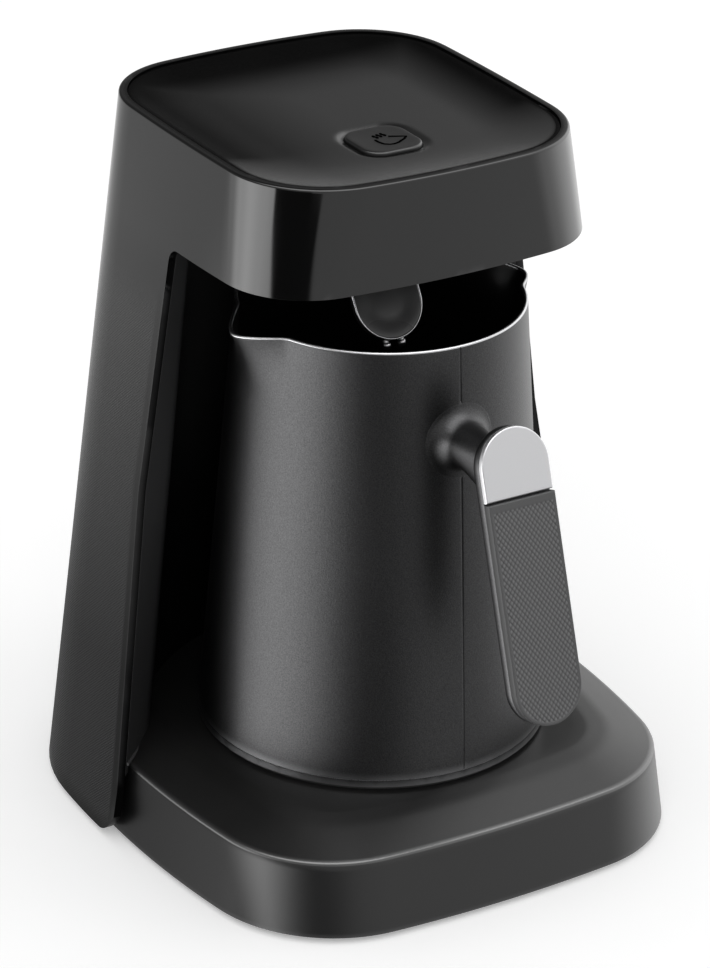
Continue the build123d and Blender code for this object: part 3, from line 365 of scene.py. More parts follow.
def makeBrushed():
    # brushed metal: noise drawn out along one axis
    group, given, result = newGroup("brushedLines", {"Across": 9000.0, "Along": 120.0}, ("Line",))
    stretch = put(group, "ShaderNodeCombineXYZ",
                  {"X": given["Across"], "Y": given["Along"], "Z": given["Across"]})
    scaled = put(group, "ShaderNodeVectorMath", {0: objectSpot(group), 1: stretch.outputs[0]},
                 operation="MULTIPLY")
    feed(group, noise(group, scaled.outputs[0], 1.0, 2.0), result["Line"])
    return group


fineGrain, crossHatch, edgeWear = makeGrain(), makeHatch(), makeWear()
dustVeil, brushedLines = makeDust(), makeBrushed()
# what every finish shares: its clear coat, the dust's colour, and how much rougher dust, hatched
# and brushed places are
surface = {"coatRough": 0.06, "dust": (0.35, 0.34, 0.33), "dustRough": 0.5,
           "hatchRough": 0.16, "brushedRough": 0.12}


def makeFinish(name, dark, light, rough, spread, metal=0.0, fineness=2500.0, clouds=18.0,
               depth=0.00001, worn=None, dust=0.0, hatch=0.0, brushed=0.0, coat=0.0,
               specular=0.5, mark=None, cloudy=0.3, coatFades=False, hatchGlint=None, shaded=False):
    # Colour runs from dark to light with the grain, then to worn on edges and to dust on top; the
    # hatch's ridge tops are painted lighter as a painted glint.
    # Roughness varies with the clouds; the grain, hatch and brushing are heights for one bump.
    # A mark on the mesh can lighten the colour (painted light and shade on the grip's knurl), fade
    # the coat or scale the gleam (painted shade and painted highlight).
    material = bpy.data.materials.new(name)
    material.use_nodes = True
    tree = material.node_tree
    grain = put(tree, "ShaderNodeGroup", node_tree=fineGrain)
    fill(tree, grain, {"Fineness": fineness, "Clouds": clouds})
    share = maths(tree, "ADD", maths(tree, "MULTIPLY", grain.outputs["Tint"], 1 - cloudy),
                  maths(tree, "MULTIPLY", grain.outputs["Cloud"], cloudy))
    if mark:
        key, part = mark
        share = maths(tree, "MULTIPLY", markOf(tree, key),
                      maths(tree, "MULTIPLY_ADD", share, 1 - part, part))
    colour = mixColour(tree, share, dark, light)
    roughness = maths(tree, "MULTIPLY_ADD", maths(tree, "SUBTRACT", grain.outputs["Cloud"], 0.5),
                      2 * spread, rough)
    height = grain.outputs["Height"]
    if worn:
        wear = put(tree, "ShaderNodeGroup", node_tree=edgeWear)
        colour = mixColour(tree, wear.outputs["Mask"], colour, worn)
    if dust:
        veil = put(tree, "ShaderNodeGroup", node_tree=dustVeil)
        amount = maths(tree, "MULTIPLY", veil.outputs["Mask"], dust)
        colour = mixColour(tree, amount, colour, surface["dust"])
        roughness = maths(tree, "MULTIPLY_ADD", amount, surface["dustRough"], roughness)
    if hatch:
        lines = put(tree, "ShaderNodeGroup", node_tree=crossHatch).outputs
        height = maths(tree, "MULTIPLY_ADD", lines["Height"], hatch, height)
        roughness = maths(tree, "MULTIPLY_ADD", lines["Amount"], surface["hatchRough"], roughness)
        # painted glint: the hatch's ridge tops are painted lighter
        ridge = maths(tree, "POWER", maths(tree, "MAXIMUM", lines["Height"], 0.0), 2.0)
        colour = mixColour(tree, ridge, colour, hatchGlint)
    if brushed:
        line = put(tree, "ShaderNodeGroup", node_tree=brushedLines).outputs["Line"]
        height = maths(tree, "MULTIPLY_ADD", line, brushed, height)
        roughness = maths(tree, "MULTIPLY_ADD", line, surface["brushedRough"], roughness)
    if coatFades:
        matte = markOf(tree, "matte")
        coat = maths(tree, "SUBTRACT", coat, matte)
        specular = maths(tree, "MULTIPLY", matte, specular)
    # painted shade and painted highlight: the shade mark scales the specular
    if shaded:
        specular = maths(tree, "MULTIPLY", markOf(tree, "shade"), specular)
    bump = put(tree, "ShaderNodeBump", {"Strength": 1.0, "Distance": depth, "Height": height})
    fill(tree, tree.nodes["Principled BSDF"], {
        "Base Color": colour, "Metallic": metal, "Roughness": roughness,
        "Specular IOR Level": specular, "Coat Weight": coat,
        "Coat Roughness": surface["coatRough"], "Normal": bump.outputs["Normal"]})
    return material


# dark and light colour, roughness and its spread, and what differs from a plain finish
finishes = {
    # glossBlack paints the hatch's ridge tops lighter, a painted glint
    "glossBlack": (0.0012, 0.0026, 0.30, 0.03, dict(
        fineness=900.0, clouds=9.0, depth=0.00002, dust=0.02, worn=0.02, hatch=3.2,
        hatchGlint=0.044, specular=0.05, coat=1.0, coatFades=True)),
    "satinBlack": (0.003, 0.007, 0.30, 0.04, dict(fineness=4200.0, dust=0.06, worn=0.03)),
    # the dish's shade mark turns its gleam down as painted shade on the lip and the left, rear and
    # right slopes
    "dishBlack": (0.0010, 0.0024, 0.24, 0.04, dict(
        fineness=4200.0, dust=0.02, worn=0.03, specular=1.0, shaded=True)),
    "keyBlack": (0.003, 0.007, 0.28, 0.04, dict(fineness=3600.0, dust=0.04, worn=0.06)),
    "printBlack": (0.001, 0.002, 0.5, 0.05, dict(specular=0.0)),
    "bayBlack": (0.0008, 0.026, 0.36, 0.05, dict(
        fineness=2600.0, worn=0.05, specular=0.35, mark=("strip", 0.7))),
    # the base's shade mark scales its gleam: painted shade on the skirt's left side, a painted
    # highlight on its round edge
    "baseBlack": (0.002, 0.006, 0.32, 0.04, dict(
        fineness=3800.0, depth=0.000018, dust=0.05, worn=0.06, shaded=True)),
    "potCoat": (0.010, 0.086, 0.38, 0.04, dict(
        metal=1.0, fineness=2600.0, depth=0.00003, worn=0.20, cloudy=0.10)),
    "potInside": (0.004, 0.010, 0.30, 0.05, dict(metal=0.3, fineness=2600.0)),
    "rimSteel": (0.35, 0.50, 0.22, 0.06, dict(metal=1.0, brushed=0.6)),
    "capSilver": (0.44, 0.51, 0.40, 0.04, dict(
        metal=1.0, fineness=6000.0, brushed=0.5, worn=0.65)),
    # the knurl mark paints the grip lighter on the ridge tops and darker in the valleys: painted
    # light and shade
    "gripRubber": (0.010, 0.125, 0.55, 0.05, dict(fineness=5200.0, mark=("knurl", 0.75))),
    "tongueGrey": (0.015, 0.028, 0.28, 0.05, dict(fineness=3000.0)),
    # bright metal for the tongue's edge bead: a raised rim, painted bright as its highlight
    "brightEdge": (0.45, 0.62, 0.20, 0.05, dict(metal=1.0)),
    "bareSteel": (0.42, 0.58, 0.26, 0.07, dict(metal=1.0, brushed=0.5)),
    "castAluminium": (0.45, 0.60, 0.42, 0.08, dict(
        metal=1.0, fineness=1800.0, depth=0.00003)),
    "pinBrass": ((0.50, 0.33, 0.10), (0.68, 0.47, 0.18), 0.28, 0.07, dict(metal=1.0)),
    "softRubber": (0.012, 0.022, 0.62, 0.08, dict(fineness=3000.0, depth=0.00003, dust=0.10)),
    "innerPlastic": (0.030, 0.045, 0.45, 0.06, dict(depth=0.00002)),
    "boardGreen": ((0.010, 0.060, 0.022), (0.020, 0.100, 0.035), 0.35, 0.08, dict(
        fineness=1500.0, coat=0.3)),
    "lampLens": ((0.55, 0.56, 0.52), (0.72, 0.73, 0.70), 0.25, 0.05, {})}
finish = {name: makeFinish(name, *plain, **others)
          for name, (*plain, others) in finishes.items()}
# the finish of each CAD material
finishOf = {"gloss_black": "glossBlack", "satin_black": "satinBlack", "base_black": "baseBlack",
            "inner_plastic": "innerPlastic", "rubber": "softRubber", "led": "lampLens",
            "circuit_board": "boardGreen", "aluminium": "castAluminium", "steel": "bareSteel",
            "brass": "pinBrass", "flap_grey": "tongueGrey", "pot_coating": "potCoat",
            "cap_silver": "capSilver", "grip": "gripRubber"}
print("stage: finishes")


# the shell: head band, tower sides and back in one skin
shell = {"rimRound": 0.7, "rimFlat": 0.3, "edgeRound": 0.35, "rowsLow": 22, "rowsHead": 12,
         "rowsCurl": 9, "rowsRim": 6, "around": (14, 16, 8, 26, 18, 12), "trim": 0.03,
         "hatchTop": 186.0, "hatchFull": 160.0, "hatchEdge": 2.6, "hatchFoot": 2.5,
         "hatchSoft": 1.2, "matteTop": 190.0, "matteFull": 55.0, "mattePower": 0.8,
         "footLift": 8.0, "footReach": 10.0, "liftEnd": 16.0}


def buildShell():
    # Outline loops stacked by height. Below the head the loops are open: they run from the
    # tower's right front edge round the back to its left one. The rim turns over in a quarter
    # circle, and the inner skin is the same loops drawn in by the wall.
    foot, knee, head, rim = (tower[key] for key in ("footZ", "kneeZ", "headZ", "rimZ"))
    curl, ring, counts = tower["bayCorner"], shell["rimRound"], shell["around"]
    turn = quarter(shell["rowsRim"])[1:]
    lowZ = np.concatenate([np.linspace(foot, knee, shell["rowsLow"]),
                           np.linspace(knee, head - curl, shell["rowsLow"])[1:],
                           head - curl * (1 - np.sin(quarter(shell["rowsCurl"])))[1:-1]])
    upZ = np.linspace(head, rim - ring - shell["rimFlat"], shell["rowsHead"])
    upZ = np.append(upZ, rim - ring)
    z = np.concatenate([lowZ, upZ, rim - ring * (1 - np.sin(turn))])
    drawnIn = shell["trim"] + np.append(np.zeros(len(lowZ) + len(upZ)), ring * (1 - np.cos(turn)))
    numbers, splitY = towerNumbers(z), bayEdgeY(np.minimum(z, head))
    outer = withZ(outlineRows(numbers, drawnIn, counts, splitY), z)
    inner = withZ(outlineRows(numbers, tower["wall"], counts, splitY), z)
    columns, first, low = outer.shape[1], sum(counts[:3]), len(lowZ)
    last = columns - first
    index = np.arange(len(z) * columns).reshape(len(z), columns)
    faces = np.vstack([facesOf(index[:low + 1, first:last + 1]), facesOf(index[low:], wrap=True)])
    # distance along the outline from the rear middle, for the texture of the tower's skin
    step = np.linalg.norm(np.diff(outer[..., :2], axis=1), axis=2)
    along = np.cumsum(np.pad(step, ((0, 0), (1, 0))), axis=1)
    along = along - along[:, [columns // 2]]
    edge = np.minimum(along - along[:, [first]], along[:, [last]] - along)
    high, rise = z[:, None], z[:, None] - foot
    # the lower front corners are rounded: the foot lifts as a square towards the edge
    lift = (shell["footLift"] * np.clip(1 - edge / shell["footReach"], 0, 1) ** 2
            * np.clip(1 - rise / shell["liftEnd"], 0, 1))
    outer[..., 2] += lift
    inner[..., 2] += lift
    used = np.unique(faces)
    order = np.full(index.size, -1)
    order[used] = np.arange(len(used))
    skin = thicken(outer.reshape(-1, 3)[used], inner.reshape(-1, 3)[used], order[faces])
    hatch = (ease((shell["hatchTop"] - high) / (shell["hatchTop"] - shell["hatchFull"]))
             * ease((edge - shell["hatchEdge"]) / shell["hatchSoft"])
             * ease((rise - shell["hatchFoot"]) / shell["hatchSoft"]))
    matte = np.clip((shell["matteTop"] - high) / (shell["matteTop"] - shell["matteFull"]), 0, 1)
    matte = matte ** shell["mattePower"] + 0 * edge
    marks = {"matte": np.append(matte.reshape(-1)[used], np.ones(len(used))),
             "around": np.tile(along.reshape(-1)[used] * mm, 2),
             "hatch": np.append(hatch.reshape(-1)[used], np.zeros(len(used)))}
    makePiece("shellSkin", "base", skin, ["glossBlack"], replaces=("outer_shell",),
              bevel=shell["edgeRound"], marks=marks)


# the tray in the head, and the button in it
tray = {"gap": 2.6, "lipTop": 221.4, "lipWidth": 1.1, "lipRound": 0.3,
        "lipTurn": (0.5, 1.1, math.pi / 2), "under": 216.8, "floor": 218.8, "dishEnd": 25.0,
        "dishPower": 1.6, "dishRows": 16, "floorRows": 19, "dimple": 0.75, "dimpleReach": 2.8,
        "around": (16, 18, 12, 14, 18, 14), "paintedShadeLeast": 0.01, "paintedShadeLip": 0.9,
        "paintedShadeLeft": (-46.0, 42.0), "paintedShadeRear": (57.0, 26.0), "paintedShadeRight": (50.0, 17.0),
        "paintedShadeFront": (-32.0, -8.0)}
button = {"y": -12.5, "half": 10.0, "corner": 6.0, "top": 219.3, "round": 0.8, "hollow": 0.18,
          "gap": 0.3, "flange": 1.3, "flangeTop": 216.5, "flangeT": 1.2, "stemR": 2.0,
          "stemLow": 212.3, "around": 96, "rowsTop": 9, "rowsEdge": 7}


def squareReach(angle, half, corner):
    # distance from the middle of a square with round corners to its edge, at each angle: the flat
    # side where the ray meets it, and otherwise the corner's circle
    sides = abs(np.cos(angle)), abs(np.sin(angle))
    wide, slim = np.maximum(*sides), np.minimum(*sides)
    inner = half - corner
    flat = half / wide
    root = (inner * (wide + slim)) ** 2 - 2 * inner ** 2 + corner ** 2
    bent = inner * (wide + slim) + np.sqrt(np.maximum(root, 0))
    return np.where(flat * slim <= inner, flat, bent)


def buildTray():
    # Loops drawn in step by step from the rim: a lip, a dish that falls as a power curve, then
    # loops that pass over into the button's hole, and back under the floor to the first loop.
    gap, ring, lipTop, floor = (tray[key] for key in ("gap", "lipRound", "lipTop", "floor"))
    under, power, turn = tray["under"], tray["dishPower"], np.array(tray["lipTurn"])
    lipIn = gap + ring + tray["lipWidth"]
    dish = np.linspace(0, 1, tray["dishRows"])[1:]
    inset = np.concatenate([[gap, gap], gap + ring * (1 - np.cos(turn)), [lipIn],
                            lipIn + (tray["dishEnd"] - lipIn) * dish])
    height = np.concatenate([[under, lipTop - ring], lipTop - ring * (1 - np.sin(turn)),
                             [lipTop], floor + (lipTop - floor) * (1 - dish) ** power])
    numbers = towerNumbers(np.full(len(inset), lipTop))
    numbers[0] = towerNumbers(under)
    loops = outlineRows(numbers, inset, tray["around"])
    last = loops[-1]
    angle = np.arctan2(last[:, 1] - button["y"], last[:, 0])
    reach = squareReach(angle, button["half"] + button["gap"], button["corner"] + button["gap"])
    hole = np.stack([reach * np.cos(angle), button["y"] + reach * np.sin(angle)], axis=-1)
    share = 1 - (1 - np.linspace(0, 1, tray["floorRows"])[1:, None, None]) ** power
    floorLoops = last + (hole - last) * share
    away = np.linalg.norm(floorLoops - hole, axis=2)
    floorZ = floor - tray["dimple"] * (1 - ease(away / tray["dimpleReach"]))
    rows = np.concatenate([withZ(loops, height), withZ(floorLoops, floorZ),
                           withZ(hole[None], [under])])
    # painted shade: the lip and the slopes at the left, rear and right gleam less, their specular
    # turned down as a square of the distance
    left, rear, right = tray["paintedShadeLeft"], tray["paintedShadeRear"], tray["paintedShadeRight"]
    x, y = rows[..., 0], rows[..., 1]
    near = np.stack([(x - left[0]) / left[1], (rear[0] - y) / rear[1], (right[0] - x) / right[1]])
    shade = (np.clip(near, 0, 1) ** 2).min(axis=0)
    low, high = tray["paintedShadeFront"]
    shade = 1 - (1 - shade) * ease((y - low) / (high - low))
    shade[:np.searchsorted(inset, lipIn + tray["paintedShadeLip"])] = 0.0
    shade = tray["paintedShadeLeast"] + (1 - tray["paintedShadeLeast"]) * shade
    makePiece("trayDish", "base", gridOf(rows, wrap=True, wrapRows=True), ["dishBlack"],
              replaces=("top_tray",), sharp=50,
              marks={"shade": shade.reshape(-1)})


def buildButton():
    # Rounded squares about one middle: the top is hollow as the square of the distance, its edge
    # turns over in a quarter circle, and the side goes down to the flange and the stem.
    half, corner, ring, top = (button[key] for key in ("half", "corner", "round", "top"))
    sizes = [((half - ring) * s, (corner - ring) * s, top - button["hollow"] * (1 - s ** 2))
             for s in np.linspace(0, 1, button["rowsTop"])]
    for t in quarter(button["rowsEdge"])[1:]:
        away = ring * (1 - math.sin(t))
        sizes.append((half - away, corner - away, top - ring * (1 - math.cos(t))))
    wide, bend, high = half + button["flange"], corner + button["flange"], button["flangeTop"]
    under, stem, low = high - button["flangeT"], button["stemR"], button["stemLow"]
    sizes += [(half, corner, high), (wide, bend, high), (wide, bend, under), (stem, stem, under),
              (stem, stem, low), (0.0, 0.0, low)]
    angle = fullTurn(button["around"])
    profile = [(squareReach(angle, h, c), z) for h, c, z in sizes]
    rows = ringRows(profile, (0, button["y"], 0), angle)
    makePiece("startKey", "button", gridOf(rows, wrap=True), ["keyBlack"],
              replaces=("start_button",), sharp=50)


icon = {"line": 0.46, "proud": 0.05, "ground": 0.85, "flat": 0.3, "steps": 25,
        "bowl": ((-2.57, 0.45), (-2.5, -1.6), (-1.9, -3.5), (-0.5, -4.6), (0.9, -4.8),
                 (2.4, -4.4), (3.82, -3.63)),
        "ear": ((2.4, 1.2), (3.5, 0.68), (7.13, -1.26), (5.6, -2.6), (3.71, -3.58)),
        "steam": ((-1.3, 2.5), (0.2, 2.9), (1.7, 3.2)), "steamLong": 2.2, "wave": 0.35}


def buildIcon():
    # A cup in a few strokes: a shallow bowl, a pointed ear and three waves of steam, each stroke
    # a flat tube that lies on the button's top.
    t = np.linspace(0, 1, icon["steps"])
    strokes = [(x + icon["wave"] * np.sin(2 * math.pi * t), y + icon["steamLong"] * (t - 0.5))
               for x, y in icon["steam"]]
    for key in ("ear", "bowl"):
        x, y = np.transpose(icon[key])
        run = np.linspace(0, 1, len(x))
        strokes.insert(0, (np.interp(t, run, x), np.interp(t, run, y)))
    z = np.full(len(t), button["top"] - button["hollow"] * icon["ground"] + icon["proud"] / 2)
    parts = [tube(np.stack([x, y + button["y"], z], -1), icon["line"], sides=8,
                  flatten=icon["flat"]) for x, y in strokes]
    makePiece("keyIcon", "button", joinParts(parts), ["printBlack"])


# the hollow behind the pot, between its slanting strips
bay = {"turnY": 10.0, "potY": -13.4, "lowR": 70.5, "topR": 56.9, "edgeZ": 25.1, "lowZ": 22.1,
       "thick": 2.0, "gap": 2.6, "rows": (14, 12), "strip": 10, "stripSoft": 3, "arc": 64,
       "edgeRound": 0.3, "beadR": 0.6, "beadZ": (25.7, 27.6), "beadOut": 0.2, "beadRows": 16,
       "beadSides": 12}


def buildBay():
    # Across: a slanting strip, an arc about the pot's axis, and the other strip. Up: straight
    # lines from the foot to the knee, and from the knee to the head.
    knee, head, turnY, gap = tower["kneeZ"], tower["headZ"], bay["turnY"], bay["gap"]
    z = np.concatenate([np.linspace(bay["lowZ"], knee, bay["rows"][0]),
                        np.linspace(knee, head, bay["rows"][1])[1:]])
    knots = np.array([bay["lowZ"], knee, head])
    radius = np.interp(z, knots, bay["lowR"] + (bay["topR"] - bay["lowR"])
                       * (knots - bay["edgeZ"]) / (head - bay["edgeZ"]))
    lean = np.interp(z, (tower["footZ"], knee), (tower["bayLowY"], tower["bayKneeY"]))
    halfW, sideBow, front, rear = towerNumbers(z).T[[0, 1, 2, 4]]
    halfW, front, rear = halfW - gap, front + gap, rear - gap
    sideR = (((rear - front) / 2) ** 2 + sideBow ** 2) / (2 * sideBow)
    edgeX = halfW + sideBow - sideR + np.sqrt(sideR ** 2 - (lean - (front + rear) / 2) ** 2)
    turnX = np.sqrt(radius ** 2 - (turnY - bay["potY"]) ** 2)
    # each strip's points, as shares of the way from its edge to where the arc starts
    edge, inward = np.stack([edgeX, lean], -1), np.stack([turnX - edgeX, turnY - lean], -1)
    share = np.linspace(0, 1, bay["strip"], endpoint=False)[:, None]
    right = edge[:, None] + inward[:, None] * share
    start = np.arctan2(turnY - bay["potY"], turnX)[:, None]
    angle = start + (math.pi - 2 * start) * np.linspace(0, 1, bay["arc"])
    arc = radius[:, None, None] * np.stack([np.cos(angle), np.sin(angle)], -1) + [0, bay["potY"]]
    sheet = withZ(np.concatenate([right, arc, right[:, ::-1] * [-1.0, 1.0]], axis=1), z)
    points, faces = gridOf(sheet)
    wall = thicken(points, points + [0.0, bay["thick"], 0.0], faces)
    columns = sheet.shape[1]
    away = abs(np.arange(columns) - (columns - 1) / 2)
    strip = ease((away - bay["arc"] / 2 + 1) / bay["stripSoft"])
    # a bead along each strip's foot, where it stands on the base
    low, high = bay["beadZ"]
    row = np.argmin(abs(z - high))
    share = np.linspace(0, 1, bay["beadRows"])
    x, y = (edge[row] + inward[row] * share[:, None]).T
    path = np.stack([x, y - bay["beadOut"], low + (high - low) * share], -1)
    beads = [tube(path * [side, 1.0, 1.0], bay["beadR"], sides=bay["beadSides"])
             for side in (1.0, -1.0)]
    points, faces = joinParts([wall] + beads)
    strip = np.append(np.tile(strip, 2 * len(z)), np.ones(len(points) - len(wall[0])))
    makePiece("bayHollow", "base", (points, faces), ["bayBlack"], replaces=("bay_liner",),
              sharp=25, bevel=bay["edgeRound"], marks={"strip": strip})


# the base: the crown's steps and rises go in from the edge, and "mean" is the sliding mean that
# rounds them: points over the width, points in the mean, and points added at both ends
# shadeLeast, shadeX, shadeTop and edgeGleam set painted shade and a painted highlight in the
# base's gleam
base = {"footZ": 2.0, "edgeZ": 25.1, "inset": 4.3, "frontLow": -87.6, "frontTop": -83.3,
        "cornerLow": 43.4, "cornerTop": 39.0, "steps": (0.0, 6.5, 13.0, 19.4),
        "rises": (0.0, 2.3, 4.5, 5.7), "mean": (400, 61, 40), "meanOver": 3.0,
        "edgeRound": 0.75, "edgeTurn": 1.25, "edgeRise": 0.25, "wall": 2.5, "holeR": 13.0,
        "around": (20, 24, 16, 24, 20, 12), "rows": (14, 7, 22, 13), "shadeLeast": 0.22,
        "shadeX": (-76.0, -70.0), "shadeTop": 24.5, "edgeGleam": 2.4}


def buildBase():
    # Loops up the skirt, over a small round edge, up the crown through its three steps, then
    # over into the round hole under the pot, and back under the top and down inside the skirt.
    footZ, edgeZ, ring, wall = (base[key] for key in ("footZ", "edgeZ", "edgeRound", "wall"))
    last, counts = base["steps"][-1], base["around"]
    skirtRows, edgeRows, crownRows, floorRows = base["rows"]
    low, edge = towerNumbers(footZ)[0], towerNumbers(edgeZ)[0]
    low[[0, 4, 7]] -= base["inset"]
    edge[[0, 4, 7]] -= base["inset"]
    low[[2, 6]] = base["frontLow"], base["cornerLow"]
    edge[[2, 6]] = base["frontTop"], base["cornerTop"]
    turn = np.linspace(0, base["edgeTurn"], edgeRows)[1:]
    crown = np.linspace(ring, last, crownRows)
    count, mean, pad = base["mean"]
    fine = np.linspace(0, last + base["meanOver"], count)
    rough = np.interp(fine, base["steps"], base["rises"])
    padded = np.pad(rough, pad, mode="reflect", reflect_type="odd")
    smooth = np.convolve(padded, np.ones(mean) / mean, mode="same")[pad:-pad]
    rise = np.interp(crown, fine, smooth)
    rise = rise * base["rises"][-1] / rise[-1]
    upZ = footZ + (edgeZ - ring - footZ) * np.linspace(0, 1, skirtRows)
    roundZ = edgeZ - ring + ring * np.sin(turn) + base["edgeRise"] * turn / turn[-1]
    z = np.concatenate([upZ, roundZ, edgeZ + rise[1:]])
    inset = np.concatenate([np.zeros(len(upZ)), ring * (1 - np.cos(turn)), crown[1:]])
    share = np.append((upZ - footZ) / (edgeZ - footZ), np.ones(len(z) - len(upZ)))
    loops = outlineRows(low + (edge - low) * share[:, None], inset, counts)
    rim, top = loops[-1], z[-1]
    angle = np.arctan2(rim[:, 1] - bay["potY"], rim[:, 0])
    hole = base["holeR"] * np.stack([np.cos(angle), np.sin(angle)], -1) + [0, bay["potY"]]
    flat = rim + (hole - rim) * np.linspace(0, 1, floorRows)[1:, None, None]
    inside = outlineRows(np.stack([edge, edge, low]), np.array([wall + last, wall, wall]), counts)
    rows = np.concatenate([withZ(loops, z), withZ(flat, np.full(len(flat), top)),
                           withZ(hole[None], [top - wall]),
                           withZ(inside, [top - wall, edgeZ - wall, footZ])])
    points, faces = gridOf(rows, wrap=True, wrapRows=True)
    # painted shade: the skirt's left side gleams less than its front, its right side and the crown
    near, far = base["shadeX"]
    shade = np.maximum(ease((points[:, 0] - near) / (far - near)),
                       ease(points[:, 2] - base["shadeTop"]))
    shade = base["shadeLeast"] + (1 - base["shadeLeast"]) * shade
    # painted highlight: the round edge between skirt and crown gleams more, its specular raised
    shade.reshape(rows.shape[:2])[len(upZ):len(upZ) + len(turn)] = base["edgeGleam"]
    makePiece("baseCrown", "base", (points, faces), ["baseBlack"], replaces=("base_cover",),
              sharp=50, marks={"shade": shade})


# the pot: "spoutTip" rounds the spout's point and "spoutBend" hollows its flanks
pot = {"y": -13.4, "z": 32.05, "rimZ": 170.4, "footR": 54.1, "rimR": 43.8, "steelZ": 34.3,
       "wall": 1.2, "floorZ": 45.3, "floorRound": 6.0, "spoutOut": 7.7, "spoutWide": 21.0,
       "spoutHigh": 24.0, "spoutPower": 1.8, "spoutTip": 0.012, "spoutBend": (1.5, 0.5),
       "lipDip": 2.4, "seamDeep": 0.20, "seamWide": 0.20,
       "seamSteps": (0.12, 0.25, 0.40, 0.60), "around": 288, "rows": (40, 24), "turnRows": 7,
       "rimRows": 9, "flatRows": (8, 10)}


def potRadius(z):
    # a straight cone from foot to rim
    return pot["footR"] + (pot["rimR"] - pot["footR"]) * (z - pot["z"]) / (pot["rimZ"] - pot["z"])


def spoutShare(angle):
    # 1 at the middle of a spout and 0 at its flanks: a pointed wave, its tip rounded
    away = np.minimum(abs(angle), abs(abs(angle) - math.pi))
    tip = pot["spoutTip"]
    t = np.clip(np.degrees(away) / pot["spoutWide"], 0, 1)
    t = np.sqrt(t ** 2 + tip) - math.sqrt(tip)
    t = np.clip(t / (math.sqrt(1 + tip) - math.sqrt(tip)), 0, 1)
    power, slope = pot["spoutBend"]
    return (1 - t) ** power * (1 + slope * t)


def potRing(angle, height, inside):
    # radius and height of the wall: a cone, pushed out at the spouts as a power of the height
    away = spoutShare(angle)
    up = np.clip((height - (pot["rimZ"] - pot["spoutHigh"])) / pot["spoutHigh"], 0, 1)
    radius = potRadius(height) + pot["spoutOut"] * away * up ** pot["spoutPower"] - inside
    return radius, height - pot["lipDip"] * away * up ** 2


def buildPot():
    # One closed skin: from the middle of the underside out and down inside the foot, up the
    # outer wall, over the rim in half a circle, down the inner wall and in over the floor.
    angle = fullTurn(pot["around"]) - math.pi / 2
    angle = (angle + math.pi) % (2 * math.pi) - math.pi
    steps = np.radians(pot["seamSteps"])
    angle = np.sort(np.concatenate([angle, -math.pi / 2 + steps, -math.pi / 2 - steps]))
    wall, edge, under, steel = (pot[key] for key in ("wall", "floorRound", "floorZ", "steelZ"))
    turn, half = quarter(pot["turnRows"]), wall / 2
    underRows, floorRows = pot["flatRows"]
    rimZ, bendZ, top = pot["rimZ"] - half, pot["rimZ"] - pot["spoutHigh"], under + wall
    footIn, inR = potRadius(under) - wall, potRadius(top + edge) - wall
    lower = [(r, under) for r in np.linspace(0, footIn - edge, underRows)]
    lower += [(footIn - edge * (1 - math.sin(t)), under - edge * (1 - math.cos(t)))
              for t in turn[1:]]
    lower.append((potRadius(steel) - wall, steel))
    low = np.linspace(steel, bendZ, pot["rows"][0])
    high = np.linspace(bendZ, rimZ, pot["rows"][1])[1:]
    away = (angle + math.pi / 2) * pot["rimR"] / pot["seamWide"]
    seam = pot["seamDeep"] * np.exp(-(away ** 2))
    outer = [potRing(angle, z, seam) for z in np.append(low, high)]
    rim = []
    for t in np.linspace(0, math.pi, pot["rimRows"])[1:]:
        radius, z = potRing(angle, rimZ, half - half * math.cos(t))
        rim.append((radius, z + half * math.sin(t)))
    inner = [potRing(angle, z, wall) for z in high[-2::-1]]
    inner += [potRing(angle, z, wall) for z in low[:0:-1] if z > top + edge + 1]
    inner += [(inR - edge * (1 - math.cos(t)), top + edge - edge * math.sin(t)) for t in turn]
    inner += [(r, top) for r in np.linspace(inR - edge, 0, floorRows)[1:]]
    rows = ringRows(lower + outer + rim + inner, (0, pot["y"], 0), angle)
    # faces between the rings: 0 coated, 1 bare rim, 2 inside and underside
    firstRim = len(lower) + len(outer)
    band = np.repeat(np.arange(len(rows) - 1), len(angle))
    material = np.digitize(band, (firstRim - 1, firstRim + len(rim) - 1))
    material[band < len(lower)] = 2
    makePiece("potShell", "pot", gridOf(rows, wrap=True), ["potCoat", "rimSteel", "potInside"],
              replaces=("pot_body",), sharp=50, second=material)


# the handle and its own plane: across, up its slope and out of its face
handle = {"wide": 22.8, "long": 88.4, "tilt": 18.45, "topY": -88.2, "topZ": 144.9, "skin": 1.7,
          "core": 4.2, "capLong": 20.4, "line": 0.6, "round": 0.45, "coreRound": 0.35,
          "backRound": 1.7, "padProud": 0.9, "around": 40, "sideRows": 30, "backRows": 7}
tilt = math.radians(handle["tilt"])
handlePlane = (np.array([0.0, handle["topY"], handle["topZ"]]), np.array([1.0, 0.0, 0.0]),
               np.array([0.0, math.sin(tilt), math.cos(tilt)]),
               np.array([0.0, -math.cos(tilt), math.sin(tilt)]))


def onPlane(plane, x, y, out):
    # from a piece's own plane to the frame
    spot, *ways = plane
    return spot + sum(np.asarray(value)[..., None] * way for value, way in zip((x, y, out), ways))


def slotLoop(inset):
    # a slot's outline: half circle at the top, straight sides, half circle at the bottom
    radius = handle["wide"] / 2 - inset
    low = handle["wide"] - handle["long"]
    turn = np.linspace(0, math.pi, handle["around"])
    top = np.stack([radius * np.cos(turn), radius * np.sin(turn)], -1)
    side = np.linspace(0, low, handle["sideRows"])[1:-1]
    left = np.stack([np.full(len(side), -radius), side], -1)
    return np.concatenate([top, left, [0, low] - top, [0, low] - left])


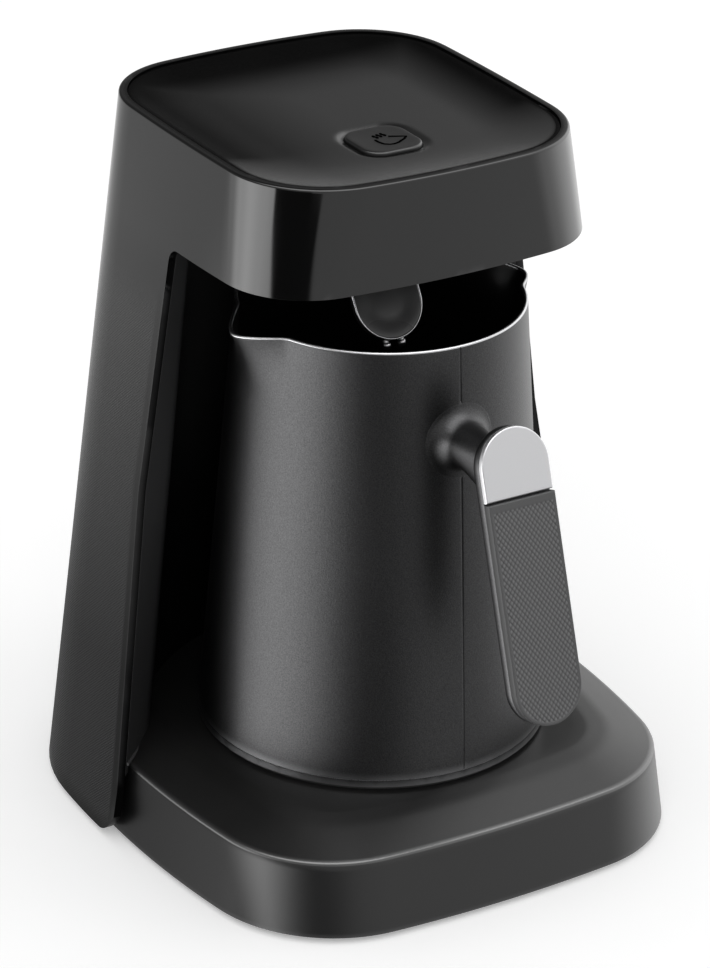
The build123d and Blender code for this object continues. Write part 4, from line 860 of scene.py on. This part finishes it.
def buildHandleCore():
    # The slab behind the plates, in slot loops, their back edge turned over in a quarter circle;
    # and the neck.
    skin, small, ring = handle["skin"], handle["coreRound"], handle["backRound"]
    middle, deep = handle["wide"] / 2, skin + handle["core"]
    steps = [(middle, skin), (small, skin), (0.0, skin + small), (0.0, deep - ring)]
    steps += [(ring * (1 - math.cos(t)), deep - ring * (1 - math.sin(t)))
              for t in quarter(handle["backRows"])[1:]]
    steps.append((middle, deep))
    slab = np.stack([onPlane(handlePlane, *slotLoop(i).T, -d) for i, d in steps])
    makePiece("handleCore", "pot", joinParts([gridOf(slab, wrap=True), neckSkin()]), ["potCoat"],
              replaces=("handle_core",), sharp=50)


neck = {"z": 141.0, "r": 6.8, "flare": 4.7, "drop": 24.0, "dropPower": 2.4, "narrow": 4.4,
        "sink": 3.9, "tuck": 1.6, "inWall": 0.5, "reach": 25.0, "rows": (14, 20), "around": 72}


def neckSkin():
    # Loops about the neck's axis, each a share of the way from the pot's wall to a plane inside
    # the slab. The first loop is wider and lies inside the wall, where the neck opens in a
    # quarter circle; further on the lower half grows down along the slab as a power curve and
    # grows narrower.
    reach, flare = neck["reach"], neck["flare"]
    flareRows, otherRows = neck["rows"]
    out = np.concatenate([[-neck["inWall"]] * 2, flare * (1 - np.cos(quarter(flareRows))),
                          np.linspace(flare, reach, otherRows)[1:], [reach]])
    near = np.clip(flare - np.clip(out, 0, None), 0, None)
    radius = neck["r"] + flare - np.sqrt(flare ** 2 - near ** 2)
    radius[1] += neck["tuck"]
    share = np.clip((out - flare / 2) / (reach - flare / 2), 0, 1)
    drop = neck["drop"] * share ** neck["dropPower"]
    width = radius - (neck["r"] - neck["narrow"]) * ease(share)
    radius[0] = radius[-1] = drop[-1] = width[0] = width[-1] = 0.0
    turn = fullTurn(neck["around"])
    x = width[:, None] * np.cos(turn)
    z = neck["z"] + (radius[:, None] + drop[:, None] * (np.sin(turn) < 0)) * np.sin(turn)
    wall = pot["y"] - np.sqrt(np.maximum(potRadius(z) ** 2 - x ** 2, 0))
    plane = (handle["topY"] - (handle["topZ"] - z) * math.tan(tilt)
             + neck["sink"] / math.cos(tilt))
    y = wall + (plane - wall) * (out / reach)[:, None]
    return gridOf(np.stack([x, y, z], -1), wrap=True)


def plateSkin(x, y, edge, proud):
    # a plate on the handle's face: its height falls off in a quarter circle near its edge
    ring = handle["round"]
    fall = ring - np.sqrt(ring ** 2 - np.clip(ring - edge, 0, ring) ** 2)
    points, faces = gridOf(onPlane(handlePlane, x, y, proud - fall))
    back = onPlane(handlePlane, x, y, np.full(x.shape, -handle["skin"]))
    return thicken(points, back.reshape(-1, 3), faces)


def roundEnd(y, end, radius, count, bend):
    # A straight-sided strip with a half circle beyond end: points across for each y, closer
    # together towards both sides, and their distance from the nearest side.
    past = np.clip(y - end, 0, None)
    u = np.sin(np.linspace(-1, 1, count) * math.pi / 2 * bend) / math.sin(math.pi / 2 * bend)
    x = np.sqrt(np.maximum(radius ** 2 - past ** 2, 0))[:, None] * u
    y, past = np.broadcast_to(y[:, None], x.shape), past[:, None]
    return x, y, np.where(past > 0, radius - np.hypot(x, past), radius - abs(x))


cap = {"low": (0.06, 8), "straight": (0.97, 40), "top": 10, "across": 61, "bend": 0.96}


def buildCapPlate():
    # up from the straight lower edge to the round top, with shares of the way up in close rows
    # at both ends
    radius = handle["wide"] / 2
    lowY = radius - handle["capLong"]
    (low, lowRows), (high, highRows) = cap["low"], cap["straight"]
    v = np.concatenate([np.linspace(0, low, lowRows), np.linspace(low, high, highRows)[1:],
                        1 - (1 - high) * (1 - np.sin(quarter(cap["top"])))[1:]])
    x, y, side = roundEnd(lowY + (radius - lowY) * v, 0.0, radius, cap["across"], cap["bend"])
    makePiece("capPlate", "pot", plateSkin(x, y, np.minimum(side, y - lowY), 0.0), ["capSilver"],
              replaces=("handle_cap_plate",), sharp=50)


grip = {"margin": 0.7, "topBand": 2.2, "soft": 0.6, "pitchAcross": 0.76, "pitchUp": 1.02,
        "deep": 0.26, "plain": 0.4, "cell": 0.17, "endCell": 1.2, "topEdge": (0.4, 5),
        "across": 151, "bend": 0.9}


def buildGrip():
    # Down from the straight upper edge to the round end. The knurl is the product of two sine
    # ridges that cross, its square root taken so that the tops are flat.
    radius, cell = handle["wide"] / 2, grip["cell"]
    highY = radius - handle["capLong"] - handle["line"]
    endY = handle["wide"] - handle["long"]
    edge, edgeRows = grip["topEdge"]
    curve = np.sin(quarter(int(radius / cell * grip["endCell"])))
    y = np.concatenate([highY - np.linspace(0, edge, edgeRows),
                        np.linspace(highY - edge, endY, int((highY - endY) / cell))[1:],
                        endY - radius * curve[1:]])
    x, y, side = roundEnd(-y, -endY, radius, grip["across"], grip["bend"])
    y = -y
    a, b = x / grip["pitchAcross"], y / grip["pitchUp"]
    ridge = np.sqrt(abs(np.sin(math.pi / 2 * (a + b)) * np.sin(math.pi / 2 * (a - b))))
    amount = (ease((side - grip["margin"]) / grip["soft"])
              * ease((highY - grip["topBand"] - y) / grip["soft"]))
    proud = handle["padProud"] - grip["deep"] * (1 - ridge) * amount
    # painted light and shade: the colour mark is lighter on the knurl's ridge tops and darker in
    # its valleys
    knurl = (ridge * amount + (1 - amount) * grip["plain"]).reshape(-1)
    edge = np.minimum(side, highY - y)
    makePiece("gripPad", "pot", plateSkin(x, y, edge, proud), ["gripRubber"],
              replaces=("handle_grip_pad",), sharp=60,
              marks={"knurl": np.append(knurl, np.zeros(x.size))})


# the sensor flap and its own plane: across, down the tongue and out of its face
flap = {"y": -3.4, "z": 190.5, "lean": 31.4, "long": 37.0, "wide": 23.0, "thick": 2.0,
        "root": 4.4, "crown": 0.55, "crownWide": 7.0, "edge": 0.8, "rows": 26, "across": 45,
        "bend": 0.94, "barrelR": 2.6, "barrelL": 14.0, "barrelEdge": 0.4,
        "barrelAround": 40, "webOut": 0.9, "webEnds": (0.5, 6.0), "webRows": 6, "line": 0.32,
        "lineIn": 0.3, "lineDeep": 0.25, "lineStart": 1.0, "lineRows": (20, 50)}
lean = math.radians(flap["lean"])
flapPlane = (np.array([0.0, flap["y"], flap["z"]]), np.array([1.0, 0.0, 0.0]),
             np.array([0.0, -math.sin(lean), -math.cos(lean)]),
             np.array([0.0, -math.cos(lean), math.sin(lean)]))


def buildFlap():
    # The tongue: straight sides and a half circle at its tip, its face hollow across as a
    # square curve. The barrel is a round bar about the hinge axis, and a web joins the two.
    radius, deep, edge = flap["wide"] / 2, flap["thick"] / 2, flap["edge"]
    tip = flap["long"] - radius
    v = np.append(np.linspace(flap["root"], tip, flap["rows"]),
                  tip + radius * np.sin(quarter(flap["rows"]))[1:])
    x, down, side = roundEnd(v, tip, radius, flap["across"], flap["bend"])
    fall = edge - np.sqrt(np.maximum(edge ** 2 - np.clip(edge - side, 0, edge) ** 2, 0))
    hollow = flap["crown"] * ease(side / flap["crownWide"])
    points, faces = gridOf(onPlane(flapPlane, x, down, deep - hollow - fall))
    back = onPlane(flapPlane, x, down, fall / 2 - deep)
    tongue = thicken(points, back.reshape(-1, 3), faces)
    half, radius, edge = flap["barrelL"] / 2, flap["barrelR"], flap["barrelEdge"]
    profile = [(0.0, -half), (radius - edge, -half), (radius, edge - half),
               (radius, half - edge), (radius - edge, half), (0.0, half)]
    barrel = ringRows(profile, (0, flap["y"], flap["z"]), fullTurn(flap["barrelAround"]),
                      (1, 2, 0))
    start, end = flap["webEnds"]
    x, down = np.meshgrid([start - half, half - start], np.linspace(start, end, flap["webRows"]))
    points, faces = gridOf(onPlane(flapPlane, x, down, np.full(x.shape, flap["webOut"])))
    web = thicken(points, points - 2 * flap["webOut"] * flapPlane[-1], faces)
    makePiece("sensorTongue", "flap", joinParts([tongue, gridOf(barrel, wrap=True), web]),
              ["tongueGrey"], replaces=("sensor_flap",), sharp=50)


def buildTongueLine():
    # a fine bead along the tongue's edge, from one shoulder round the tip to the other; it is
    # bright metal, a painted highlight on the edge
    radius = flap["wide"] / 2 - flap["lineIn"]
    root, tip = flap["root"] + flap["lineStart"], flap["long"] - flap["wide"] / 2
    side, bend = flap["lineRows"]
    turn = np.linspace(0, math.pi, bend)
    x = np.concatenate([np.full(side, radius), radius * np.cos(turn), np.full(side, -radius)])
    down = np.linspace(root, tip, side + 1)[:-1]
    down = np.concatenate([down, tip + radius * np.sin(turn), down[::-1]])
    path = onPlane(flapPlane, x, down, np.full(len(x), flap["thick"] / 2 - flap["lineDeep"]))
    makePiece("tongueEdge", "flap", tube(path, flap["line"], up=flapPlane[-1]), ["brightEdge"])


# the cord gland at the foot of the tower's back: radius and place along its axis
gland = {"z": 28.0, "around": 64, "profile": (
    (3.2, 74.75), (5.2, 74.75), (5.2, 81.9), (5.0, 81.95), (5.0, 86.9), (7.2, 86.93), (7.5, 87.2),
    (7.5, 88.0), (7.1, 88.43), (4.2, 88.43), (3.6, 88.2), (3.2, 87.8))}


def buildGland():
    # the profile turned about the gland's axis, closed on itself
    rows = ringRows(gland["profile"], (0, 0, gland["z"]), fullTurn(gland["around"]), (0, 2, 1))
    makePiece("cordGland", "base", gridOf(rows, wrap=True, wrapRows=True), ["softRubber"],
              replaces=("inlet_gland",), sharp=40)


for stage, builders in (("shell", (buildShell,)),
                        ("tray and button", (buildTray, buildButton, buildIcon)),
                        ("base and hollow", (buildBay, buildBase, buildGland)),
                        ("pot and handle", (buildPot, buildHandleCore, buildCapPlate, buildGrip)),
                        ("flap", (buildFlap, buildTongueLine))):
    for build in builders:
        build()
    print("stage:", stage)

# the solids that keep their own shape get the finish of their slot, but for two rings on the pot
ownFinish = {"pot_seal": "rimSteel", "pot_base_ring": "potCoat"}
for name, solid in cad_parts.items():
    for place in solid.material_slots:
        plain = place.material.name.split(".")[0] if place.material else ""
        place.link = "OBJECT"
        place.material = finish[ownFinish.get(name, finishOf.get(plain, "innerPlastic"))]
print("stage: carried solids")

# floor, light and camera
studio = {"floorHalf": 3.0, "floorTone": 0.90, "floorRough": 0.9, "worldLevel": 0.75,
          "whiteLift": 0.30, "aim": (0, 0, 0.1), "keyLamp": ((-0.9, -1.1, 1.5), 0.9, 5.0),
          "fillLamp": ((1.3, -0.7, 1.1), 0.8, 2.0)}


def makeFloor():
    half, tone = studio["floorHalf"], studio["floorTone"]
    mesh = bpy.data.meshes.new("paleFloor")
    mesh.from_pydata([(-half, -half, 0), (half, -half, 0), (half, half, 0), (-half, half, 0)], [],
                     [(0, 1, 2, 3)])
    material = bpy.data.materials.new("paleFloor")
    material.use_nodes = True
    tree = material.node_tree
    seen = put(tree, "ShaderNodeLightPath").outputs["Is Camera Ray"]
    fill(tree, tree.nodes["Principled BSDF"], {
        "Base Color": (tone, tone, tone, 1), "Roughness": studio["floorRough"],
        "Specular IOR Level": 0.0, "Emission Color": (1, 1, 1, 1),
        "Emission Strength": maths(tree, "MULTIPLY", seen, studio["whiteLift"])})
    mesh.materials.append(material)
    floor = bpy.data.objects.new("paleFloor", mesh)
    bpy.context.scene.collection.objects.link(floor)
    floor.visible_glossy = False


# What polished surfaces mirror: light levels round the compass, in degrees, for what lies below
# the horizon, above it and overhead; and a dark upright flag behind the camera. It leans, so its
# edges shift with the angle of height.
mirror = {"low": ((-180, 4.9), (-166, 4.2), (-152, 2.0), (-140, 0.9), (-122, 0.96), (-45, 0.96),
                  (-30, 1.5), (-5, 1.9), (20, 1.6), (50, 1.0), (100, 0.75), (127, 0.82),
                  (136, 1.7), (150, 4.2), (165, 5.6), (180, 4.9)),
          "mid": ((-180, 0.6), (-100, 0.9), (-20, 1.8), (0, 2.4), (30, 2.2), (41, 1.5),
                  (49, 0.45), (57, 0.22), (70, 0.14), (110, 0.15), (140, 0.4), (180, 0.6)),
          "top": ((-180, 4.2), (-20, 4.2), (12, 1.6), (34, 1.2), (46, 0.2), (60, 0.08),
                  (110, 0.10), (140, 0.8), (165, 4.2), (180, 4.2)),
          "lowFade": ((-90, 0.30), (-45, 0.45), (-28, 0.75), (-18, 1.0), (0, 1.0)),
          "most": 6.0, "toMid": (-2.0, 8.0), "toTop": (36.0, 50.0),
          "flag": (-168.0, -129.0), "flagSoft": 1.5, "flagLevel": 0.04, "leanMost": 40.0,
          "flagLean": ((-90, 40), (-40, 40), (-25, 34), (-18, 27), (-13, 20), (-8, 11), (-5, 0),
                       (0, 0))}


def rampOf(tree, source, stops, reach, most):
    # a smooth curve through the stops, as a colour ramp from minus reach to reach
    values = {"Value": source, "From Min": -reach, "From Max": reach}
    span = put(tree, "ShaderNodeMapRange", values)
    ramp = put(tree, "ShaderNodeValToRGB", {"Fac": span.outputs["Result"]})
    line = ramp.color_ramp
    line.interpolation = "EASE"
    line.elements.remove(line.elements[-1])
    for count, (place, value) in enumerate(stops):
        share = (place + reach) / (2 * reach)
        stop = line.elements[0] if count == 0 else line.elements.new(share)
        stop.position = share
        stop.color = (*[value / most] * 3, 1)
    return maths(tree, "MULTIPLY", ramp.outputs["Color"], most)


def between(tree, source, low, high):
    # 0 below low, 1 above high, a smooth step from one to the other
    values = {"Value": source, "From Min": low, "From Max": high}
    step = put(tree, "ShaderNodeMapRange", values, interpolation_type="SMOOTHSTEP")
    return step.outputs["Result"]


def blend(tree, share, first, second):
    # first + share * (second - first)
    return maths(tree, "MULTIPLY_ADD", share, maths(tree, "SUBTRACT", second, first), first)


def makeWorld():
    world = bpy.data.worlds.new("studio")
    bpy.context.scene.world = world
    world.use_nodes = True
    tree = world.node_tree
    way = put(tree, "ShaderNodeTexCoord").outputs["Generated"]
    x, y, z = put(tree, "ShaderNodeSeparateXYZ", {0: way}).outputs
    turn = maths(tree, "DEGREES", maths(tree, "ARCTAN2", y, x))
    lift = maths(tree, "DEGREES", maths(tree, "ARCSINE", z))
    low, mid, top = (rampOf(tree, turn, mirror[key], 180.0, mirror["most"])
                     for key in ("low", "mid", "top"))
    low = maths(tree, "MULTIPLY", low, rampOf(tree, lift, mirror["lowFade"], 90.0, 1.0))
    shift = rampOf(tree, lift, mirror["flagLean"], 90.0, mirror["leanMost"])
    flagTurn, soft = maths(tree, "SUBTRACT", turn, shift), mirror["flagSoft"]
    flag = maths(tree, "SUBTRACT", *(between(tree, flagTurn, edge - soft, edge + soft)
                                     for edge in mirror["flag"]))
    low = blend(tree, flag, low, mirror["flagLevel"])
    seen = blend(tree, between(tree, lift, *mirror["toMid"]), low, mid)
    seen = blend(tree, between(tree, lift, *mirror["toTop"]), seen, top)
    # polished surfaces see the studio, all others a plain sky, and the camera plain white
    rays = put(tree, "ShaderNodeLightPath").outputs
    level = blend(tree, rays["Is Glossy Ray"], studio["worldLevel"], seen)
    clear = maths(tree, "MAXIMUM", rays["Is Camera Ray"], rays["Is Transmission Ray"])
    fill(tree, tree.nodes["Background"], {"Color": (1, 1, 1, 1),
                                          "Strength": blend(tree, clear, level, 1.0)})


def makeLamp(name):
    spot, size, power = studio[name]
    lamp = bpy.data.lights.new(name, "AREA")
    lamp.shape, lamp.size, lamp.energy = "SQUARE", size, power
    holder = bpy.data.objects.new(name, lamp)
    bpy.context.scene.collection.objects.link(holder)
    turn = (Vector(studio["aim"]) - Vector(spot)).to_track_quat("-Z", "Y").to_matrix().to_4x4()
    holder.matrix_world = Matrix.Translation(spot) @ turn
    holder.visible_glossy = False


# the camera's place, its turn in radians, focal length and shift in pixels of a 968 high picture
shot = {"spot": (-0.5950, -0.9576, 0.6483), "yaw": 0.5572, "pitch": -0.4523, "roll": 0.0228,
        "focal": 4071.16, "shift": (-2.61, 3.18), "high": 968.0, "film": 36.0}


def makeCamera():
    yaw, pitch, roll = shot["yaw"], shot["pitch"], shot["roll"]
    ahead = Vector((math.sin(yaw) * math.cos(pitch), math.cos(yaw) * math.cos(pitch),
                    math.sin(pitch)))
    level = Vector((math.cos(yaw), -math.sin(yaw), 0.0))
    above = level.cross(ahead)
    right = level * math.cos(roll) + above * math.sin(roll)
    above = above * math.cos(roll) - level * math.sin(roll)
    camera = bpy.data.cameras.new("camera")
    camera.sensor_width, camera.lens = shot["film"], shot["film"] * shot["focal"] / shot["high"]
    camera.shift_x, camera.shift_y = (value / shot["high"] for value in shot["shift"])
    holder = bpy.data.objects.new("camera", camera)
    turn = Matrix((right, above, -ahead)).transposed().to_4x4()
    holder.matrix_world = Matrix.Translation(shot["spot"]) @ turn
    bpy.context.scene.collection.objects.link(holder)
    bpy.context.scene.camera = holder


makeFloor()
makeWorld()
makeLamp("keyLamp")
makeLamp("fillLamp")
makeCamera()
bpy.context.scene.view_settings.view_transform = "Standard"
print("stage: light and camera")
